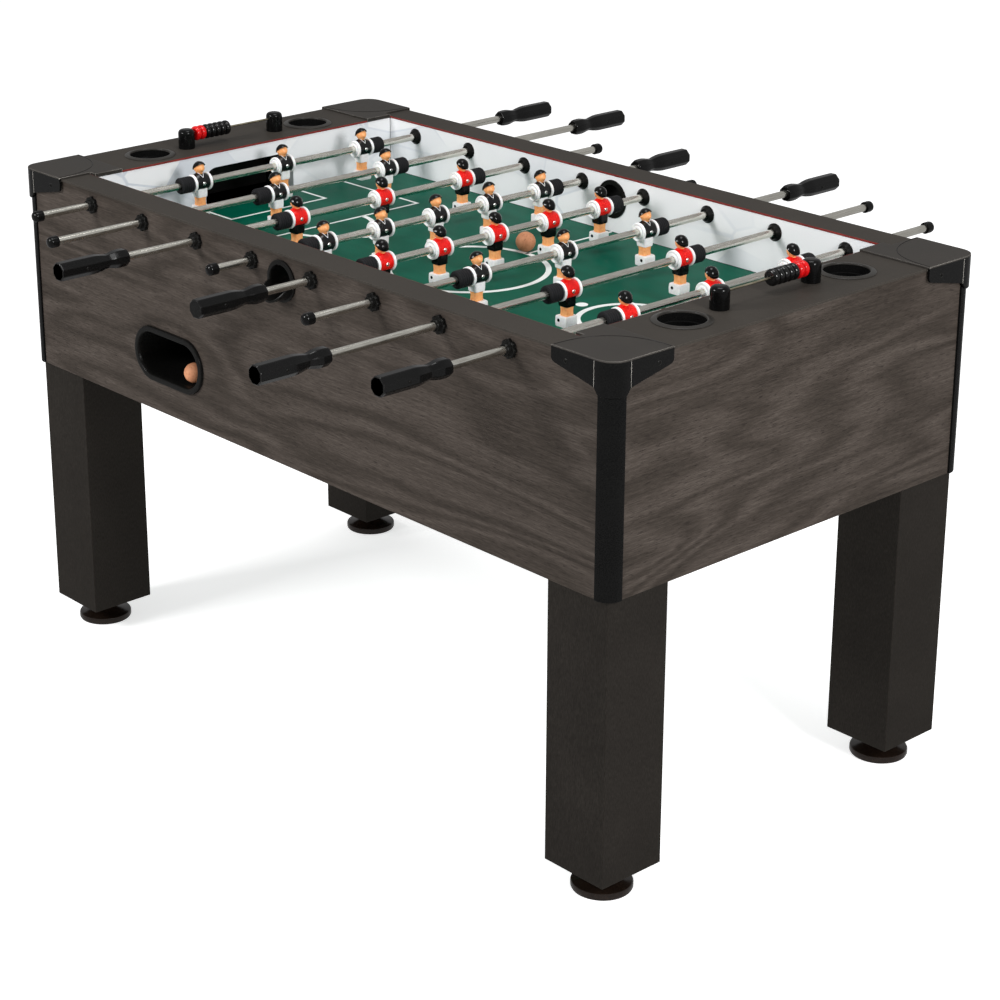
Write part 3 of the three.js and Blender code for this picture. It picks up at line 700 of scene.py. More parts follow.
def screwMaster(name, scale):
    # domed cross-head screw standing on z 0, facing up
    s = {key: value * scale for key, value in screwShape.items()}
    head = addTurned(newShape(), [(0, -1), (s["radius"], -1), (s["radius"], 0.25), (s["radius"] * 0.9,
        s["dome"] * 0.5), (s["radius"] * 0.55, s["dome"] * 0.88), (0, s["dome"])], sides=20)
    tools = []
    for wide, long in ((s["slotLength"], s["slotWidth"]), (s["slotWidth"], s["slotLength"])):
        tools.append(addBox(newShape(), (-wide / 2, -long / 2, s["dome"] - s["slotDepth"]),
            (wide / 2, long / 2, 9)))
    return master(name, carved(name, head, tools), smooth=35)


panelScrew = screwMaster("panelScrew", 1.0)
smallScrew = screwMaster("smallScrew", 0.62)
playerScrew = screwMaster("playerScrew", 0.78)

bearing = {"nutRadius": 15.0, "nutCore": 12.4, "lobes": 8, "nutOut": 12.0, "collar": 9.8, "bore": 7.2,
    "innerRadius": 15.0, "innerOut": 7.0,}


def outerBearing():
    # lobed nut with a narrower collar, drawn outwards along +z
    b, out, perLobe = bearing, bearing["nutOut"], 8
    outline = []
    for k in range(b["lobes"] * perLobe):
        swing = 0.5 + 0.5 * math.cos(math.tau * k / perLobe)
        r = b["nutCore"] + (b["nutRadius"] - b["nutCore"]) * swing ** 0.6
        outline.append((r, math.tau * k / (b["lobes"] * perLobe)))

    def ring(z, grow=1.0, round=None):
        return [((round or r) * grow * math.cos(a), (round or r) * grow * math.sin(a), z) for r, a in outline]

    return addLoft(newShape(), [ring(0.0), ring(4.6), ring(5.8, 0.95), ring(6.4, 1, b["collar"]),
        ring(out - 1.2, 1, b["collar"]), ring(out, 0.93, b["collar"]), ring(out, 1, b["bore"]),
        ring(0, 1, b["bore"])], closed=True)


nutMaster = master("nutMaster", outerBearing(), smooth=38)
innerMaster = master("innerMaster", addTurned(newShape(), [(bearing["bore"], 0), (bearing["innerRadius"],
    0), (bearing["innerRadius"], 1.4), (13.6, 2.6), (10.8, 6.2), (10.2, bearing["innerOut"]),
    (bearing["bore"], bearing["innerOut"])], sides=32, closed=True), smooth=35)


# cabinet sides

sideBoard = {"boreClear": 9.0, "servingHeight": 813.0, "servingHole": 31.0, "windowAlong": -313.0,
    "windowHeight": 605.0, "windowWidth": 175.2, "windowTall": 81.2, "ease": 0.8}
rodPlaces = [(4.5 - number) * table["rodPitch"] for number in range(1, 9)]
panelTop = table["deckTop"] - table["deckThickness"] - gap


def buildSide(side, turned):
    t, s = table, sideBoard
    holes = [circle(x, t["rodHeight"], s["boreClear"], 24) for x in rodPlaces]
    holes.append(circle(0, s["servingHeight"], s["servingHole"], 36))
    window = roundedRect(s["windowAlong"], s["windowHeight"], s["windowWidth"], s["windowTall"],
        s["windowTall"] / 2 - 0.01, 12)
    board = [(-t["sideReach"], t["bottom"]), (t["sideReach"], t["bottom"]), (t["sideReach"], panelTop),
        (-t["sideReach"], panelTop)]
    wood = addPlate(newShape(), [board, *holes, window], -t["sideFace"], -t["halfWell"] - t["lining"]
        - 0.1, "XZ", s["ease"])
    placePiece(f"{side}_side_board", wood, "root", "woodAlong", "wood_laminate", [f"{side}_side_panel"],
        turned)
    reach = t["goalPlane"] - gap
    wall = [(-reach, t["fieldTop"] + gap), (reach, t["fieldTop"] + gap), (reach, panelTop),
        (-reach, panelTop)]
    lining = addPlate(newShape(), [wall, *holes], -t["halfWell"] - t["lining"], -t["halfWell"], "XZ", 0.4)
    placePiece(f"{side}_inner_wall", lining, "root", "wallPrint", "white_laminate", (), turned)
    flip = -1 if turned else 1
    outward = [((flip * x, -flip * t["sideFace"], t["rodHeight"]), (90, 0, 180 if turned else 0))
        for x in rodPlaces]
    placeSpots(f"{side}_rod_nuts", nutMaster, outward, "root", "satinBlack")
    inward = [((x, -flip * t["halfWell"], t["rodHeight"]), (90, 0, 0 if turned else 180)) for x in rodPlaces]
    placeSpots(f"{side}_inner_bearings", innerMaster, inward, "root", "satinBlack")


topRail = {"reach": 611.2, "outer": 394.0, "inner": 335.5, "ease": 0.9, "band": 0.8}


def buildRail(side, turned):
    r, t = topRail, table
    outline = [(-r["reach"], -r["outer"]), (r["reach"], -r["outer"]), (r["reach"], -r["inner"]
        - r["band"]), (-r["reach"], -r["inner"] - r["band"])]
    board = addPlate(newShape(), [outline], t["deckTop"] - t["deckThickness"], t["deckTop"], "XY", r["ease"])
    placePiece(f"{side}_rail", board, "root", "deckLaminate", "deck_laminate", [f"{side}_top_rail"],
        turned)
    band = addBox(newShape(), (-r["reach"] + 0.2, -r["inner"] - r["band"] + 0.1, t["deckTop"]
        - t["deckThickness"]), (r["reach"] - 0.2, -r["inner"], t["deckTop"] - 0.5))
    placePiece(f"{side}_rail_edge", band, "root", "edgeBand", "wood_laminate", (), turned, roundEdge=0.25)


for side, turned in sides.items():
    buildSide(side, turned)
    buildRail(side, turned)
print("cabinet sides built")


# cabinet ends

endBoard = {"thickness": 25.0, "inset": 28.3, "ease": 1.0}
goal = {"width": 200.0, "height": 74.0, "corner": 24.0, "boxDeep": 72.0, "boxWall": 3.0}
cup = {"along": 652.0, "across": 180.0, "inner": 36.0, "flange": 45.0, "depth": 58.0, "wall": 2.0}
scorer = {"along": 650.0, "span": 200.0, "post": 15.0, "height": 35.0, "wireHeight": 24.0, "wire": 1.8,
    "beads": 7, "redBeads": 2, "pitch": 11.0, "bead": 13.0, "bore": 2.5}


def goalOutline(grow=0.0):
    g = goal
    half, top, corner = g["width"] / 2 + grow, table["fieldTop"] + g["height"] + grow, g["corner"]
    points = [(-half, table["fieldTop"] + gap), (half, table["fieldTop"] + gap)]
    for k, (side, turn) in enumerate(((1, 0), (-1, math.pi / 2))):
        for i in range(9):
            a = turn + math.pi / 2 * i / 8
            points.append((side * (half - corner) + corner * math.cos(a), top - corner
                + corner * math.sin(a)))
    return points


def buildEnd(end, turned):
    t, g = table, goal
    reach = t["halfWidth"] - endBoard["inset"]
    board = addPlate(newShape(), [[(-reach, t["bottom"]), (reach, t["bottom"]), (reach, panelTop),
        (-reach, panelTop)]], t["endFace"] - endBoard["thickness"], t["endFace"], "YZ", endBoard["ease"])
    placePiece(f"{end}_end_board", board, "root", "woodAcross", "wood_laminate", [f"{end}_end_panel"],
        turned)
    half = t["halfWell"] - gap
    mouth = goalOutline()
    outline = ([(-half, t["fieldTop"] + gap)] + mouth[:1] + mouth[:1:-1] + mouth[1:2]
        + [(half, t["fieldTop"] + gap), (half, panelTop), (-half, panelTop)])
    wall = addPlate(newShape(), [outline], t["goalPlane"], t["goalPlane"] + t["goalWall"], "YZ", 0.5)
    placePiece(f"{end}_goal_board", wall, "root", "wallPrint", "white_laminate", [f"{end}_goal_wall"],
        turned)
    # dark box behind the mouth, open to the field
    back, wall = t["goalPlane"] + t["goalWall"], g["boxWall"]
    box = addLoft(newShape(), [[(back + x, y, z) for y, z in goalOutline(grow)] for x,
        grow in ((g["boxDeep"] - wall, 0.5), (0, 0.5), (0, wall + 0.5), (g["boxDeep"], wall + 0.5))])
    placePiece(f"{end}_goal_box", box, "root", "satinBlack", "black_satin", (), turned, smooth=30)
    deckReach = t["halfWidth"] + t["guardOverhang"] - t["guardSize"] - gap
    inner = t["goalPlane"] - 1
    deck = [(inner + topRail["band"], -deckReach), (t["endFace"] + 2, -deckReach), (t["endFace"] + 2,
        deckReach), (inner + topRail["band"], deckReach)]
    band = addBox(newShape(), (inner, -deckReach + 0.2, t["deckTop"] - t["deckThickness"]),
        (inner + topRail["band"] - 0.1, deckReach - 0.2, t["deckTop"] - 0.5))
    placePiece(f"{end}_deck_edge", band, "root", "edgeBand", "wood_laminate", (), turned, roundEdge=0.2)
    holes = [circle(cup["along"], s * cup["across"], cup["inner"] + cup["wall"] + 0.5, 40) for s in (-1, 1)]
    board = addPlate(newShape(), [deck, *holes], t["deckTop"] - t["deckThickness"], t["deckTop"], "XY", 0.9)
    placePiece(f"{end}_deck", board, "root", "deckLaminate", "deck_laminate", [f"{end}_end_deck"], turned)


def buildScorer(end, turned):
    s, t = scorer, table
    base = t["deckTop"] + gap
    posts = newShape()
    for k in (-1, 1):
        r, tall = s["post"], base + s["height"]
        addTurned(posts, [(0, base), (r - 0.5, base), (r, base + 0.6), (r, tall - 7.5),
            (r - 0.5, tall - 5), (r - 1.8, tall - 2.7), (r - 3.8, tall - 1.1), (r - 6.5, tall - 0.3),
            (r - 9, tall), (0, tall)], centre=(s["along"], k * s["span"] / 2, 0), sides=36)
    placePiece(f"{end}_scorer_posts", posts, "root", "glossBlack", "black_gloss",
        [f"{end}_scorer_bracket"], turned, smooth=45)
    wire = addTube(newShape(), [(s["along"], y, t["deckTop"] + s["wireHeight"]) for y in (-s["span"] / 2,
        0, s["span"] / 2)], s["wire"], 20)
    placePiece(f"{end}_scorer_wire", wire, "root", "brassWire", "wire_steel", (), turned)
    flip = -1 if turned else 1
    start = s["span"] / 2 - s["post"] - 1 - s["beads"] * s["pitch"] + s["pitch"] / 2
    z = t["deckTop"] + s["wireHeight"]
    counts = ((f"{end}_beads_black", s["beads"] - s["redBeads"], 0, "beadBlack", "bead_black",
        [f"{end}_scorer_beads"]), (f"{end}_beads_red", s["redBeads"], s["beads"] - s["redBeads"],
        "beadRed", "bead_red", ()))
    for name, count, skip, finish, slot, stands in counts:
        first = (flip * s["along"], flip * (start + skip * s["pitch"]), z)
        placeRow(name, beadMaster, count, first, (0, flip * s["pitch"], 0), (0, 0, 0), f"{end}_beads",
            finish, stands)


beadMaster = master("beadMaster", addTurned(newShape(), [(scorer["bore"], -5.2), (8.6, -5.2),
    (10.6, -4.9), (12.0, -3.9), (12.8, -2.3), (scorer["bead"], -0.8), (scorer["bead"], 0.8), (12.8, 2.3),
    (12.0, 3.9), (10.6, 4.9), (8.6, 5.2), (scorer["bore"], 5.2)], axis="Y", sides=32, closed=True),
    smooth=50)

for end, turned in ends.items():
    buildEnd(end, turned)
    buildScorer(end, turned)


def buildCup(corner, sx, sy):
    c, top = cup, table["deckTop"]
    spot = sx * c["along"], sy * c["across"], 0
    r, floor = c["inner"], top - c["depth"]
    shape = addTurned(newShape(), [(0, floor - c["wall"]), (r - 4, floor - c["wall"]),
        (r + 0.6, floor + 2), (r + c["wall"], floor + 6), (r + c["wall"], top + 0.2), (r, top + 0.2),
        (r - 0.6, top - 12), (r - 1.4, top - 13), (r - 1.6, floor + 5), (r - 4.5, floor + 0.6),
        (r - 9, floor), (r - 14, floor + 0.8), (0, floor + 0.8)], sides=56)
    placePiece(f"cup_{corner}", shape, "root", "postBlack", "black_satin", [f"cup_holder_{corner}"],
        False, spot, smooth=32)
    f = c["flange"]
    rim = addTurned(newShape(), [(r - 0.3, top + 0.3), (f - 0.6, top + 0.3), (f, top + 0.9),
        (f - 0.7, top + 1.7), (r + 4.4, top + 2.5), (r + 2.6, top + 3.2), (r + 1.0, top + 3.1),
        (r, top + 2.3), (r - 0.3, top + 1.4)], sides=64, closed=True)
    placePiece(f"cup_rim_{corner}", rim, "root", "cupRim", "black_satin", (), False, spot, smooth=40)


corners = {f"{side}_{end}": (sx, sy) for end, sx in (("left", -1), ("right", 1)) for side,
    sy in (("near", -1), ("far", 1))}
for corner, (sx, sy) in corners.items():
    buildCup(corner, sx, sy)
print("cabinet ends built")


# playing field

field = {"thickness": 12.0, "lineLow": 0.02, "lineHeight": 0.25, "line": 5.0, "bold": 9.5,
    "smallDeep": 84.0, "smallHalf": 110.0, "bigFront": 372.0, "bigHalf": 212.0, "circle": 133.0,
    "arc": 80.0, "spot": 10.0, "spotAt": 268.0}


def addStrip(shape, x0, y0, x1, y1):
    low, high = (table["fieldTop"] + field[key] for key in ("lineLow", "lineHeight"))
    return addBox(shape, (min(x0, x1), min(y0, y1), low), (max(x0, x1), max(y0, y1), high))


def addArc(shape, cx, radius, width, start, stop, count=48):
    low, high = (table["fieldTop"] + field[key] for key in ("lineLow", "lineHeight"))
    whole = stop - start > 359
    rings = []
    for k in range(count if whole else count + 1):
        a = math.radians(start + (stop - start) * k / count)
        inner, outer = radius - width / 2, radius + width / 2
        rings.append([(cx + r * math.cos(a), r * math.sin(a), z) for r, z in ((inner, low), (outer, low),
            (outer, high), (inner, high))])
    return addLoft(shape, rings, closed=whole)


def buildField():
    t, f = table, field
    reach = t["goalPlane"] + t["goalWall"]
    board = addBox(newShape(), (-reach, -t["halfWell"] + gap, t["fieldTop"] - f["thickness"]),
        (reach, t["halfWell"] - gap, t["fieldTop"]))
    placePiece("field_board", board, "root", "fieldGreen", "playfield_green", ["playfield"], roundEdge=0.4)
    lines = newShape()
    w = f["line"]
    edge = t["halfWell"] - 0.6
    low, high = t["fieldTop"] + f["lineLow"], t["fieldTop"] + f["lineHeight"]
    spot = [(0, low), (f["spot"], low), (f["spot"], high), (0, high)]
    for s in (-1, 1):
        addStrip(lines, -w / 2, s * (f["circle"] - f["bold"] / 2 + 1), w / 2, s * edge)
        back = s * (t["goalPlane"] - 0.5)
        small = s * (t["goalPlane"] - f["smallDeep"])
        big = s * f["bigFront"]
        for front, half in ((small, f["smallHalf"]), (big, f["bigHalf"])):
            addStrip(lines, front - w / 2, -half, front + w / 2, half)
            for side in (-1, 1):
                addStrip(lines, front + s * w / 2, side * (half - w), back, side * half)
        turn = 90 if s > 0 else -90
        addArc(lines, big, f["arc"], f["bold"], turn, turn + 180, 36)
        addTurned(lines, spot, centre=(s * f["spotAt"], 0, 0), sides=28)
    addArc(lines, 0, f["circle"], f["bold"], 0, 360, 96)
    addTurned(lines, spot, sides=28)
    placePiece("field_lines", lines, "root", "fieldWhite", "white_laminate")


buildField()
print("field built")


# corner guards, legs and feet

guard = {"skirt": 50.0, "seam": 36.0, "wall": 3.4, "post": 28.0, "postRadius": 25.0, "collar": 8.0,
         "lineWidth": 1.4, "lineBulge": 40.0, "screwDrop": 14.5, "screwAlong": 91.0,
         # how deep the skirt hangs at each distance from the corner
         "drops": [(28, 50.0), (36, 39.0), (113, 22.5), (117.5, 20.5), (119.5, 17.5), (120, 14.0)],
         "stations": [120, 119.5, 117.5, 113, 96, 76, 56, 42, 36, 32, 29]}


def skirtDrop(away):
    stops = guard["drops"]
    if away <= stops[0][0]:
        return stops[0][1]
    for (a, dropA), (b, dropB) in zip(stops, stops[1:]):
        if away <= b:
            return dropA + (dropB - dropA) * (away - a) / (b - a)
    return stops[-1][1]


def guardCorner(inset, tail, steps=8):
    # outline of one wing's outer edge, round the corner, to the other wing's
    t = table
    outX, outY = t["halfLength"] + t["guardOverhang"] - inset, t["halfWidth"] + t["guardOverhang"] - inset
    radius = guard["postRadius"] + t["guardOverhang"] - inset
    points = [(outX - tail, outY)]
    for k in range(steps + 1):
        a = math.pi / 2 * (1 - k / steps)
        points.append((outX - radius + radius * math.cos(a), outY - radius + radius * math.sin(a)))
    points.append((outX, outY - tail))
    return points


def mirrored(shape, sx, sy):
    return {"points": [Vector((sx * p.x, sy * p.y, p.z)) for p in shape["points"]], "faces": shape["faces"]}


def buildGuard(corner, sx, sy):
    g, t = guard, table
    top = t["deckTop"] + t["guardRise"]
    size = t["guardSize"]
    innerX, innerY = t["halfLength"] + t["guardOverhang"] - size, t["halfWidth"] + t["guardOverhang"] - size
    tabX, tabY = t["goalPlane"] - 1, t["halfWell"] - 0.8
    outer = list(reversed(guardCorner(0.1, size - 0.1)))
    outer = [(tabX, innerY), (outer[0][0], innerY), *outer[1:-1], (innerX, outer[-1][1]), (innerX, tabY),
        (tabX, tabY)]
    pad = addPlate(newShape(), [outer], t["deckTop"] - t["deckThickness"], top, "XY", 1.1, 2)
    placePiece(f"guard_pad_{corner}", mirrored(pad, sx, sy), "root", "guardTop", "black_satin",
        [f"corner_guard_{corner}"])
    # raised line that bows inwards from wing tip to wing tip, black as a painted shade of the step along the
    # arc, and a seam line down each skirt, lit all over by guardTop's light edge colour as a painted
    # highlight
    tipA, tipB = Vector((innerX + 3, innerY + size - 3, top - 0.2)), Vector((innerX + size - 3,
        innerY + 3, top - 0.2))
    bow = Vector((-1, -1, 0)).normalized() * g["lineBulge"]
    path = [tipA.lerp(tipB, k / 28) + bow * 4 * (k / 28) * (1 - k / 28) for k in range(29)]
    rib = addTube(newShape(), path, g["lineWidth"] / 2, 8)
    outX, outY = innerX + size, innerY + size
    low = t["deckTop"] - skirtDrop(g["seam"]) + 0.6
    seams = addBox(newShape(), (outX - g["seam"] - 0.4, outY - 1, low), (outX - g["seam"] + 0.4,
        outY + 0.12, top - 3))
    addBox(seams, (outX - 1, outY - g["seam"] - 0.4, low), (outX + 0.12, outY - g["seam"] + 0.4, top - 3))
    placePiece(f"guard_seams_{corner}", mirrored(seams, sx, sy), "root", "guardTop", "black_satin")
    placePiece(f"guard_line_{corner}", mirrored(rib, sx, sy), "root", "postBlack", "black_satin")
    # skirt: its lower edge rises from the corner out to the tip of each wing
    outline = []
    straight = g["postRadius"] + t["guardOverhang"]
    shares = [(size - away) / (size - straight) for away in g["stations"]]
    for inset in (0, g["wall"]):
        run = guardCorner(inset, size - inset, 10)
        wingA = [(run[0][0] + (run[1][0] - run[0][0]) * k, run[0][1]) for k in shares]
        wingB = [(run[-1][0], run[-1][1] + (run[-2][1] - run[-1][1]) * k) for k in reversed(shares)]
        outline.append(wingA + run[2:-2] + wingB)
    skirt = newShape()
    rings = []
    for (ox, oy), (ix, iy) in zip(*outline):
        low = t["deckTop"] - skirtDrop(max(outX - ox, outY - oy))
        high, lip = top - 2.6, top - 2.2
        rings.append([(ox, oy, low + 0.8), (ox, oy, high), (ox + (ix - ox) * 0.4, oy + (iy - oy) * 0.4,
            lip), (ix, iy, lip), (ix, iy, low), (ox + (ix - ox) * 0.3, oy + (iy - oy) * 0.3, low)])
    addLoft(skirt, rings)
    placePiece(f"guard_skirt_{corner}", mirrored(skirt, sx, sy), "root", "glossBlack", "black_gloss",
        smooth=30)
    # post below, with a narrow collar at its top
    h = t["halfLength"], t["halfWidth"]
    quarter = [(h[0] - g["postRadius"] + g["postRadius"] * math.cos(math.pi / 2 * k / 12),
        h[1] - g["postRadius"] + g["postRadius"] * math.sin(math.pi / 2 * k / 12)) for k in range(13)]
    section = [(h[0] - g["post"], h[1] - g["post"]), (h[0], h[1] - g["post"]), *quarter,
        (h[0] - g["post"], h[1])]
    seam = t["deckTop"] - g["skirt"] - g["collar"]
    post = addPlate(newShape(), [section], t["bottom"], seam, "XY", 0.7)
    addPlate(post, [section], seam + 0.05, t["deckTop"] - g["skirt"] + 4, "XY", 0.7)
    placePiece(f"post_{corner}", mirrored(post, sx, sy), "root", "postBlack", "black_satin", smooth=25)


leg = {"size": 122.0, "inset": 11.0, "bottom": 42.5, "ease": 1.2, "bore": 9.0, "boreDeep": 33.0}
foot = {"radius": 47.5, "edge": 13.0, "shoulder": 22.0, "stem": 8.0, "stemDeep": 32.0, "neck": 21.0}


def buildLeg(corner, sx, sy):
    l, t = leg, table
    outX, outY = t["halfLength"] - l["inset"], t["halfWidth"] - l["inset"]
    centre = outX - l["size"] / 2, outY - l["size"] / 2
    body = carved("leg", addBox(newShape(), (outX - l["size"], outY - l["size"], l["bottom"]),
        (outX, outY, t["bottom"] - gap)), [addTurned(newShape(), [(0, l["bottom"] - 5),
        (l["bore"], l["bottom"] - 5), (l["bore"], l["bottom"] + l["boreDeep"]),
        (0, l["bottom"] + l["boreDeep"])], centre=(*centre, 0), sides=24)])
    placePiece(f"table_leg_{corner}", mirrored(body, sx, sy), "root", "legBlack", "leg_black",
        [f"leg_{corner}"], roundEdge=l["ease"])
    f = foot
    shape = addTurned(newShape(), [(0, 0), (f["radius"] - 3, 0), (f["radius"] - 1.2, 0.8),
        (f["radius"], 3), (f["radius"], f["edge"] - 3.2), (f["radius"] - 0.9, f["edge"] - 1.2),
        (f["radius"] - 3, f["edge"] - 0.3), (f["radius"] - 8, f["edge"]), (f["neck"] + 8, f["edge"] + 3),
        (f["neck"] + 1.5, f["shoulder"] - 3), (f["neck"] - 1, f["shoulder"]), (f["stem"] + 2,
        f["shoulder"]), (f["stem"], f["shoulder"] + 1.5), (f["stem"], l["bottom"] + f["stemDeep"] - 1),
        (f["stem"] - 1, l["bottom"] + f["stemDeep"]), (0, l["bottom"] + f["stemDeep"])], sides=64)
    placePiece(f"foot_disc_{corner}", shape, f"foot_{corner}", "footBlack", "black_gloss",
        [f"leveling_foot_{corner}"], False, (sx * centre[0], sy * centre[1], 0), smooth=32)


for corner, (sx, sy) in corners.items():
    buildGuard(corner, sx, sy)
    buildLeg(corner, sx, sy)


def guardScrews():
    # one screw on each wing of each guard, facing outwards
    g, t = guard, table
    spots = []
    for sx, sy in corners.values():
        x = sx * (t["halfLength"] + t["guardOverhang"] - g["screwAlong"])
        y = sy * (t["halfWidth"] + t["guardOverhang"] - g["screwAlong"])
        z = t["deckTop"] - g["screwDrop"]
        spots.append(((x, sy * (t["halfWidth"] + t["guardOverhang"] - 0.4), z), (-90 * sy, 0, 0)))
        spots.append(((sx * (t["halfLength"] + t["guardOverhang"] - 0.4), y, z), (0, 90 * sx, 0)))
    placeSpots("guard_screws", panelScrew, spots, "root", "satinBlack")


guardScrews()
print("corners and legs built")


# serving cups and ball returns

serving = {"height": 813.0, "inner": 26.0, "outer": 30.0, "flange": 34.0, "proud": 4.0, "lip": 26.0,
    "lipWall": 2.6}
ballBowl = {"along": -313.0, "height": 605.0, "width": 168.0, "tall": 74.0, "rim": 11.0, "out": 6.0,
    "wall": 3.0, "back": 280.0, "ease": 2.4}

ballChute = {"mouth": 98.0, "bend": 687.5, "along": -334.0, "lift": 4.0, "fall": 0.26, "width": 46.0,
    "tall": 28.0, "wall": 4.0, "crossWidth": 71.0, "crossEnd": 110.0, "crossRise": 44.0}


def buildServing(side, turned):
    s, t = serving, table
    outer, inner = -t["sideFace"] - s["proud"], -t["halfWell"] + 3
    centre = (0, 0, s["height"])
    cupShape = addTurned(newShape(), [(s["inner"], inner), (s["inner"] + 2, inner), (s["flange"] - 1,
        inner), (s["flange"], inner - 1), (s["flange"], -t["halfWell"] + gap), (s["outer"], -t["halfWell"]
        + 0.3), (s["outer"], -t["sideFace"] - gap), (s["flange"], -t["sideFace"] - gap),
        (s["flange"], outer + 1), (s["flange"] - 1, outer), (s["inner"] + 3, outer - 0.6),
        (s["inner"] + 1, outer - 0.4), (s["inner"], outer + 1)], axis="Y", centre=centre, sides=56,
        closed=True)
    placePiece(f"{side}_serving_ring", cupShape, "root", "satinBlack", "black_satin",
        [f"{side}_serving_cup"], turned, smooth=35)
    lip = newShape()
    rings = []
    steps = 28
    for k in range(steps + 1):
        a = math.pi * (1.02 + 0.96 * k / steps)   # the lower half of the ring
        reach = s["lip"] * math.sin(math.pi * k / steps) ** 0.55
        ring = []
        for r, y in ((s["inner"] + 0.1, outer + 2), (s["inner"] + s["lipWall"] + 1.6, outer + 2),
                (s["inner"] + s["lipWall"] + 0.6, outer - reach + 0.6), (s["inner"] + s["lipWall"] * 0.5,
                outer - reach), (s["inner"] + 0.1, outer - reach + 0.6)):
            ring.append((r * math.cos(a), y, s["height"] + r * math.sin(a)))
        rings.append(ring)
    addLoft(lip, rings)
    placePiece(f"{side}_serving_lip", lip, "root", "satinBlack", "black_satin", (), turned, smooth=50)


def addChannel(shape, start, stop, width, tall, wall, across):
    # open-topped channel from start to stop; across is the direction of its width
    start, stop, across = Vector(start), Vector(stop), Vector(across)
    rings = []
    for p in (start, stop):
        ring = []
        for u, z in ((0, 0), (width, 0), (width, tall), (width - wall, tall), (width - wall, wall),
                (wall, wall), (wall, tall), (0, tall)):
            ring.append(p + across * u + Vector((0, 0, z)))
        rings.append(ring)
    return addLoft(shape, rings)


def buildReturn(side, turned):
    b, t = ballBowl, table
    face = -t["sideFace"]

    def ring(grow, y):
        outline = roundedRect(b["along"], b["height"], b["width"] + 2 * grow, b["tall"] + 2 * grow,
            b["tall"] / 2 + grow - 0.01, 16)
        return [(x, y, z) for x, z in outline]

    front = face - b["out"]
    back = -b["back"]
    bowl = addLoft(newShape(), [ring(-14, back - b["wall"]), ring(-6, back - b["wall"] - 1.2),
        ring(-2.2, back - b["wall"] - 5), ring(-1.2, back - 16), ring(0, face), ring(0.4, face - 1.2),
        ring(1.1, front + 1.4), ring(1.9, front + 0.4), ring(3.0, front), ring(b["rim"] - 2.4, front),
        ring(b["rim"] - 0.8, front + 0.6), ring(b["rim"], front + 2.0), ring(b["rim"], face - 0.3),
        ring(b["wall"], face - 0.3), ring(b["wall"], back - 4), ring(b["wall"] - 3, back)])
    placePiece(f"{side}_return_bowl", bowl, "root", "satinBlack", "black_gloss", [f"{side}_ball_return"],
        turned, smooth=32)
    # chutes inside the cabinet that bring the balls down from the goal box
    c, chute = ballChute, newShape()
    mouthX, bend = b["along"] - c["mouth"], c["bend"]
    low = b["height"] - b["tall"] / 2 + c["lift"]
    high = low + (bend + b["along"]) * c["fall"]
    size = c["tall"], c["wall"]
    addChannel(chute, (mouthX, c["along"], low + c["mouth"] * c["fall"]), (-bend, c["along"], high),
        c["width"], *size, (0, 1, 0))
    addChannel(chute, (-bend, c["along"], high), (-bend, c["crossEnd"], high + c["crossRise"]),
        c["crossWidth"], *size, (1, 0, 0))
    placePiece(f"{side}_return_chute", chute, "root", "satinBlack", "black_gloss", (), turned,
        roundEdge=0.5)


for side, turned in sides.items():
    buildServing(side, turned)
    buildReturn(side, turned)
print("serving cups and ball returns built")


# balls

ballSize = {"radius": 17.2, "pits": 0.12, "level": 5}


def corkBall(name, centre, body, stands=()):
    work = bmesh.new()
    bmesh.ops.create_icosphere(work, subdivisions=ballSize["level"], radius=ballSize["radius"]
        - ballSize["pits"])
    mesh = bpy.data.meshes.new(name)
    for v in work.verts:
        d = v.co.normalized()
        wave = math.sin(d.x * 23 + 5 * d.y) * math.sin(d.y * 31 - 3 * d.z) * math.sin(d.z * 27 + 4 * d.x)
        v.co = (v.co * (1 + wave * ballSize["pits"] / ballSize["radius"]) + Vector(centre)) * mm
    work.to_mesh(mesh)
    work.free()
    mesh.shade_smooth()
    return placeMesh(name, mesh, body, "cork", stands)


low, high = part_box("ball")
corkBall("cork_ball", [c / mm for c in (low + high) / 2], "ball", ["ball"])
bowlFloor = ballBowl["height"] - ballBowl["tall"] / 2 + 1
for k, (x, y) in enumerate(((-274, -371), (-268, -337))):
    corkBall(f"spare_ball_{k + 1}", (x, y, bowlFloor + ballSize["radius"] + 0.5), "root")
print("balls built")


# rods, players, bumpers and handles; each is drawn as if its handle were at -y

formations = {"goal": (3, 185.0), "defence": (2, 249.0), "attack": (3, 186.0), "midfield": (5, 120.5)}
line = [("red", "goal"), ("red", "defence"), ("black", "attack"), ("red", "midfield"),
    ("black", "midfield"), ("red", "attack"), ("black", "defence"), ("black", "goal")]
rodParts = {"radius": 6.35, "cap": 9.5, "capLong": 18.0, "stopRadius": 14.5, "stopLong": 25.0,
    "stopGap": 0.4, "bore": 6.8, "handleLong": 128.0, "boreDeep": 96.0, "screwAt": 46.0}
player = {"half": 19.0, "disc": 15.8, "discThick": 5.6, "shirt": 14.4, "neck": 18.6, "head": (9.7, 9.5,
    10.7), "headAt": 25.2, "shortsTop": 0.0, "shortsEnd": -25.5, "legEnd": -41.5, "sole": -58.0,
    "hairTilt": 34.0, "hairReach": 80.0,}


def squared(rx, ry, z, power=4.0, count=28, cx=0.0, groove=0.0):
    # rounded-square ring; groove pinches the middle of the front and back
    ring = []
    for k in range(count):
        a = math.tau * k / count
        c, s = math.cos(a), math.sin(a)
        x = math.copysign(abs(c) ** (2 / power), c) * rx
        y = math.copysign(abs(s) ** (2 / power), s) * ry
        pinch = 1 - groove * math.exp(-(y / (0.28 * ry)) ** 2)
        ring.append((cx + x * pinch, y, z))
    return ring


